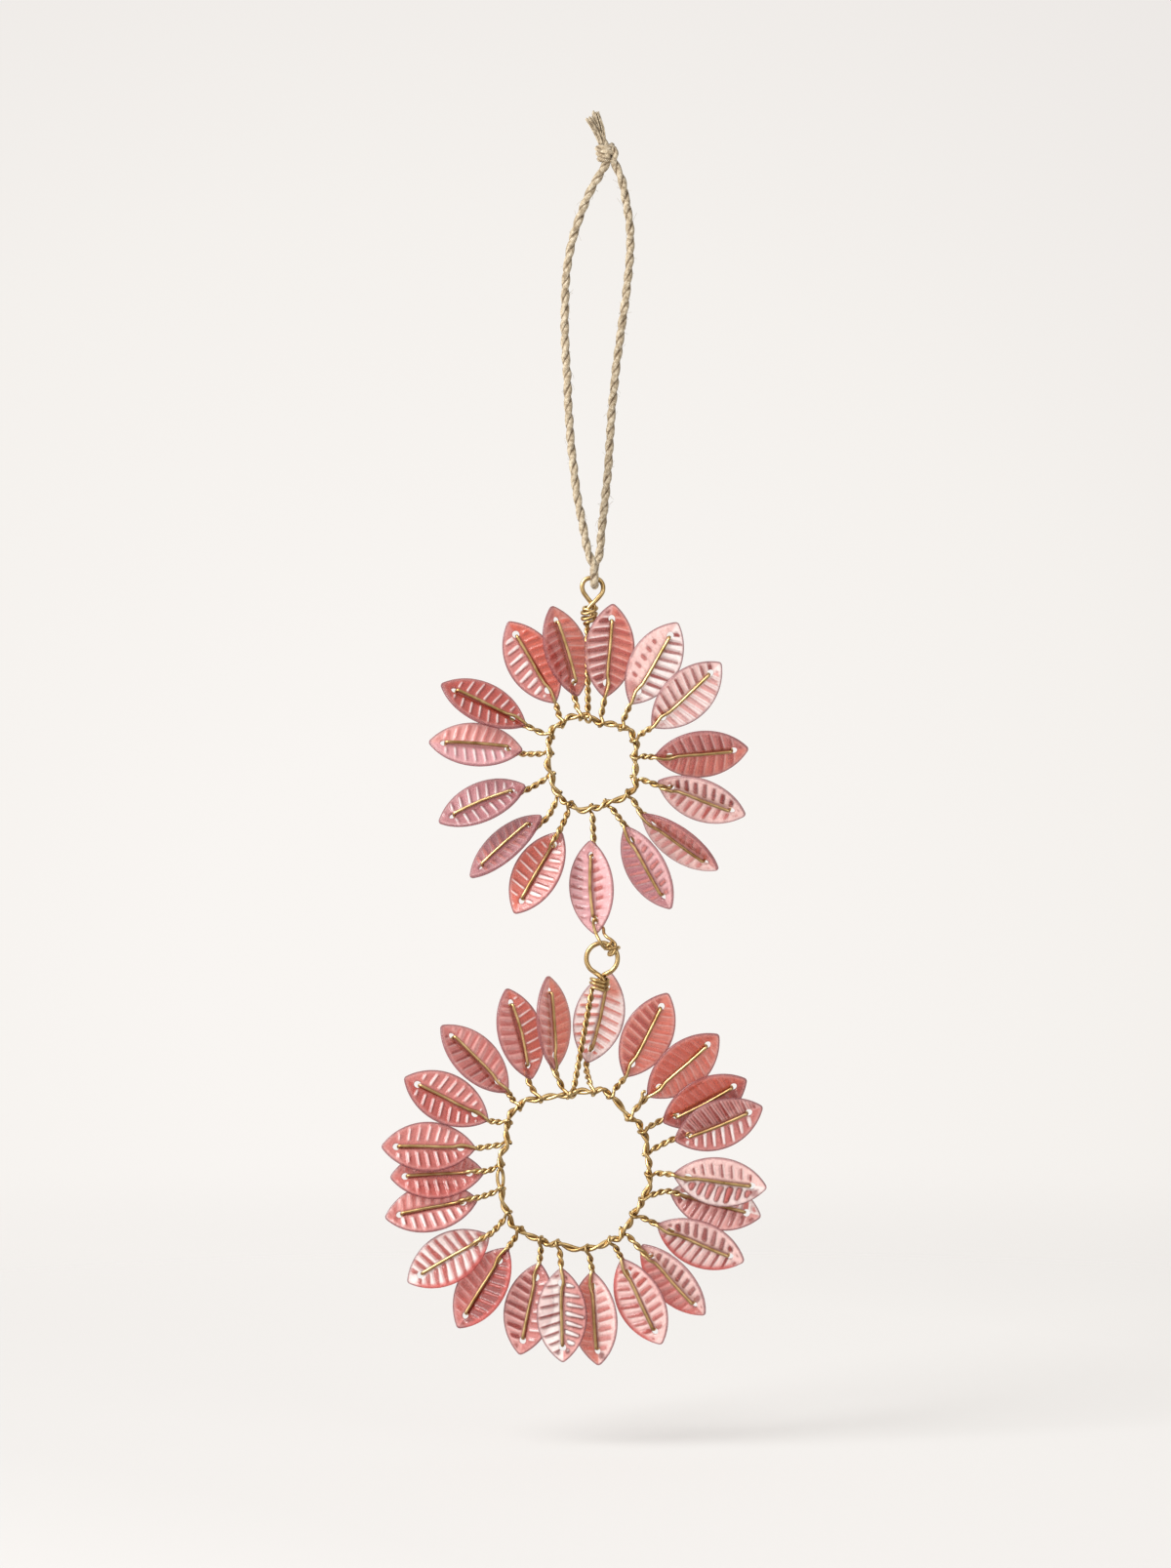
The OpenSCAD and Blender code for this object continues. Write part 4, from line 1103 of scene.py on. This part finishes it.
def half_paint(look, tones, rib, across, along, edge, rng):
    """Linear colour at each point of a leaf, by the look of one of its halves, with painted shade and glints
    beside its fingers.
    """
    def varied(span):
        return np.array([rng.uniform(*span) for _ in range(RIB_COUNT)])[rib]

    land, finger, dark = (tones[name] for name in look.tones.split())
    wide = varied(VARY_WIDTH) * look.width / 2
    start = varied(VARY_START) + look.start
    stop = varied(VARY_STOP) + look.stop
    full = varied(VARY_FULL)
    inside = np.minimum(along - start, edge - stop)
    wide = wide * (1 - TAPER * smooth(*TAPER_FROM, along))
    gap = np.hypot(np.clip(wide - inside, 0, None), across) - wide
    ends = smooth(*FINGER_END, inside)
    paint = np.repeat(land[None], len(along), 0)
    fine = fading(*FINE, np.abs(np.abs(across) - FINE_AT)) * smooth(*FINE_END, inside)
    paint = toned(paint, dark, look.fine * fine)
    # Painted shade: a dark stripe beside each finger, on the stem's side
    band = smooth(*SHADE_BAND_EDGE, np.abs(across + wide + BESIDE)) * ends
    paint = toned(paint, dark, look.band * full * band)
    # Painted highlight: a cream glint beside each finger, on the other side
    glint = smooth(*GLINT_EDGE, np.abs(across - wide - BESIDE)) * ends
    paint = toned(paint, tones["cream"], look.glint * full * glint)
    # The fingers in their look's tone; cream fingers are painted highlights on the ribs
    paint = toned(paint, finger, smooth(*FINGER_EDGE, gap) * full)
    line = np.exp(-(gap / LINE_W) ** 2) * smooth(*LINE_END, inside)
    return toned(paint, dark, look.line * full * line)


def leaf_paint(x, y, hoop, i, rng):
    """Linear colour at each point of a leaf: its two halves, then painted shade at its root end, blots, the
    crease with painted shade of the midrib wire, and the rim's painted light and shade.
    """
    leaf = hoop.leaves[i]
    tones = {name: linear(rgb) for name, rgb in COLOURS.items()}
    edge = rim_distance(x, y)
    ribs = rib_coordinates(x, y)
    paint = np.empty((len(x), 3))
    flip = leaf.flip
    for sign, name in ((-1, leaf.left), (1, leaf.right)):
        half = x * flip * sign >= 0
        paint[half] = half_paint(Look(*LOOKS[name]), tones, *ribs, edge, rng)[half]
    # Painted shade: darker red towards the leaf's end at the hoop
    paint = toned(paint, tones["red"], fading(*ROOT_SHADE, -flip * y))
    for wreath, number, across, along, size, tone, strength in BLOTS:
        if (wreath, number) == (hoop.name, i + 1):
            away = np.hypot(flip * x - across, flip * y - along)
            paint = toned(paint, tones[tone], fading(size, BLOT_CORE * size, strength, away))
    # Deeper tone along the midrib crease, partly painted shade of the midrib wire
    paint = toned(paint, tones["deep"], fading(*CREASE_AND_WIRE_SHADE, np.abs(x)) * smooth(*CREASE_SHADE_END, np.abs(y)))
    # Rim: painted light in a pale stripe inside it, painted shade in a plum line along its edge
    paint = toned(paint, tones["blush"], fading(*RIM_LIGHT, edge))
    paint = toned(paint, tones["plum"], fading(*RIM_SHADE, edge))
    # Painted glow: light gathered in the rim of one half
    glow = GLOWS.get((hoop.name, i + 1), 0) * flip * x
    return toned(paint, tones["glow"], fading(*RIM_GLOW, edge) * smooth(*GLOW_FROM, glow))


def add_leaf(hoop, i, sheet, material):
    leaf = hoop.leaves[i]
    flat, faces, holes = sheet
    x, y = flat.T
    front, back = leaf_heights(x, y, holes)
    n = len(flat)
    local = np.vstack([np.column_stack([flat * leaf.flip, z]) for z in (front, back)])
    sides = dict.fromkeys((a, b) for face in faces for a, b in zip(face, face[1:] + face[:1]))
    walls = [[a, a + n, b + n, b] for a, b in sides if (b, a) not in sides]
    shape = Shape()
    shape.add(on_leaf(hoop, leaf, local), faces + [[v + n for v in face[::-1]] for face in faces] + walls)
    node = "%s_leaf_%02d" % (hoop.name, i + 1)
    slot = next(s["material_slot"] for s in frame["record"]["subparts"] if s["node"] == node)
    name = "leaf_bead_%s_%02d" % (hoop.name, i + 1)
    piece = shape.piece(name, hoop.body, slot, material[slot], node)
    paint = piece.data.attributes.new("paint", "FLOAT_VECTOR", "POINT")
    tones = leaf_paint(x, y, hoop, i, random.Random(PAINT_SEED * len(hoop.leaves) + i))
    paint.data.foreach_set("vector", np.tile(tones, (2, 1)).astype(np.float32).ravel())


# The ornament
bpy.context.scene.view_settings.view_transform = "Standard"
add_camera()
add_floor()
add_world()
for lamp in LAMPS:
    add_light(*lamp)

brass = brass_material()
leaf_finishes = {name: leaf_material(name) for name in ("rose_leaf", "coral_leaf", "striped_leaf")}
add_twine(twine_material())

upper = new_hoop("upper", EYE_AT, *UPPER_HOOP, UPPER_LEAVES)
hole_at = on_leaf(upper, upper.leaves[LINK_LEAF], [0, HOLE_Y, 0])
ring_at = hole_at + RING_FROM_HOLE
lower = new_hoop("lower", ring_at, *LOWER_HOOP, LOWER_LEAVES)

plain_sheet = leaf_sheet(HOLE_D)
link_sheet = leaf_sheet(LINK_HOLE_D)
for hoop in (upper, lower):
    link_leaf = LINK_LEAF if hoop is upper else None
    add_hoop(hoop, brass)
    add_leaf_wires(hoop, brass, link_leaf)
    for i in range(len(hoop.leaves)):
        add_leaf(hoop, i, link_sheet if i == link_leaf else plain_sheet, leaf_finishes)
add_hanger(upper, EYE_AT, *UPPER_HANGER, EYE_WRAP, brass)
add_hanger(lower, ring_at, *LOWER_HANGER, RING_WRAP, brass)
add_eye(brass)
add_ring(ring_at, brass)
add_link(upper, ring_at, hole_at, brass)
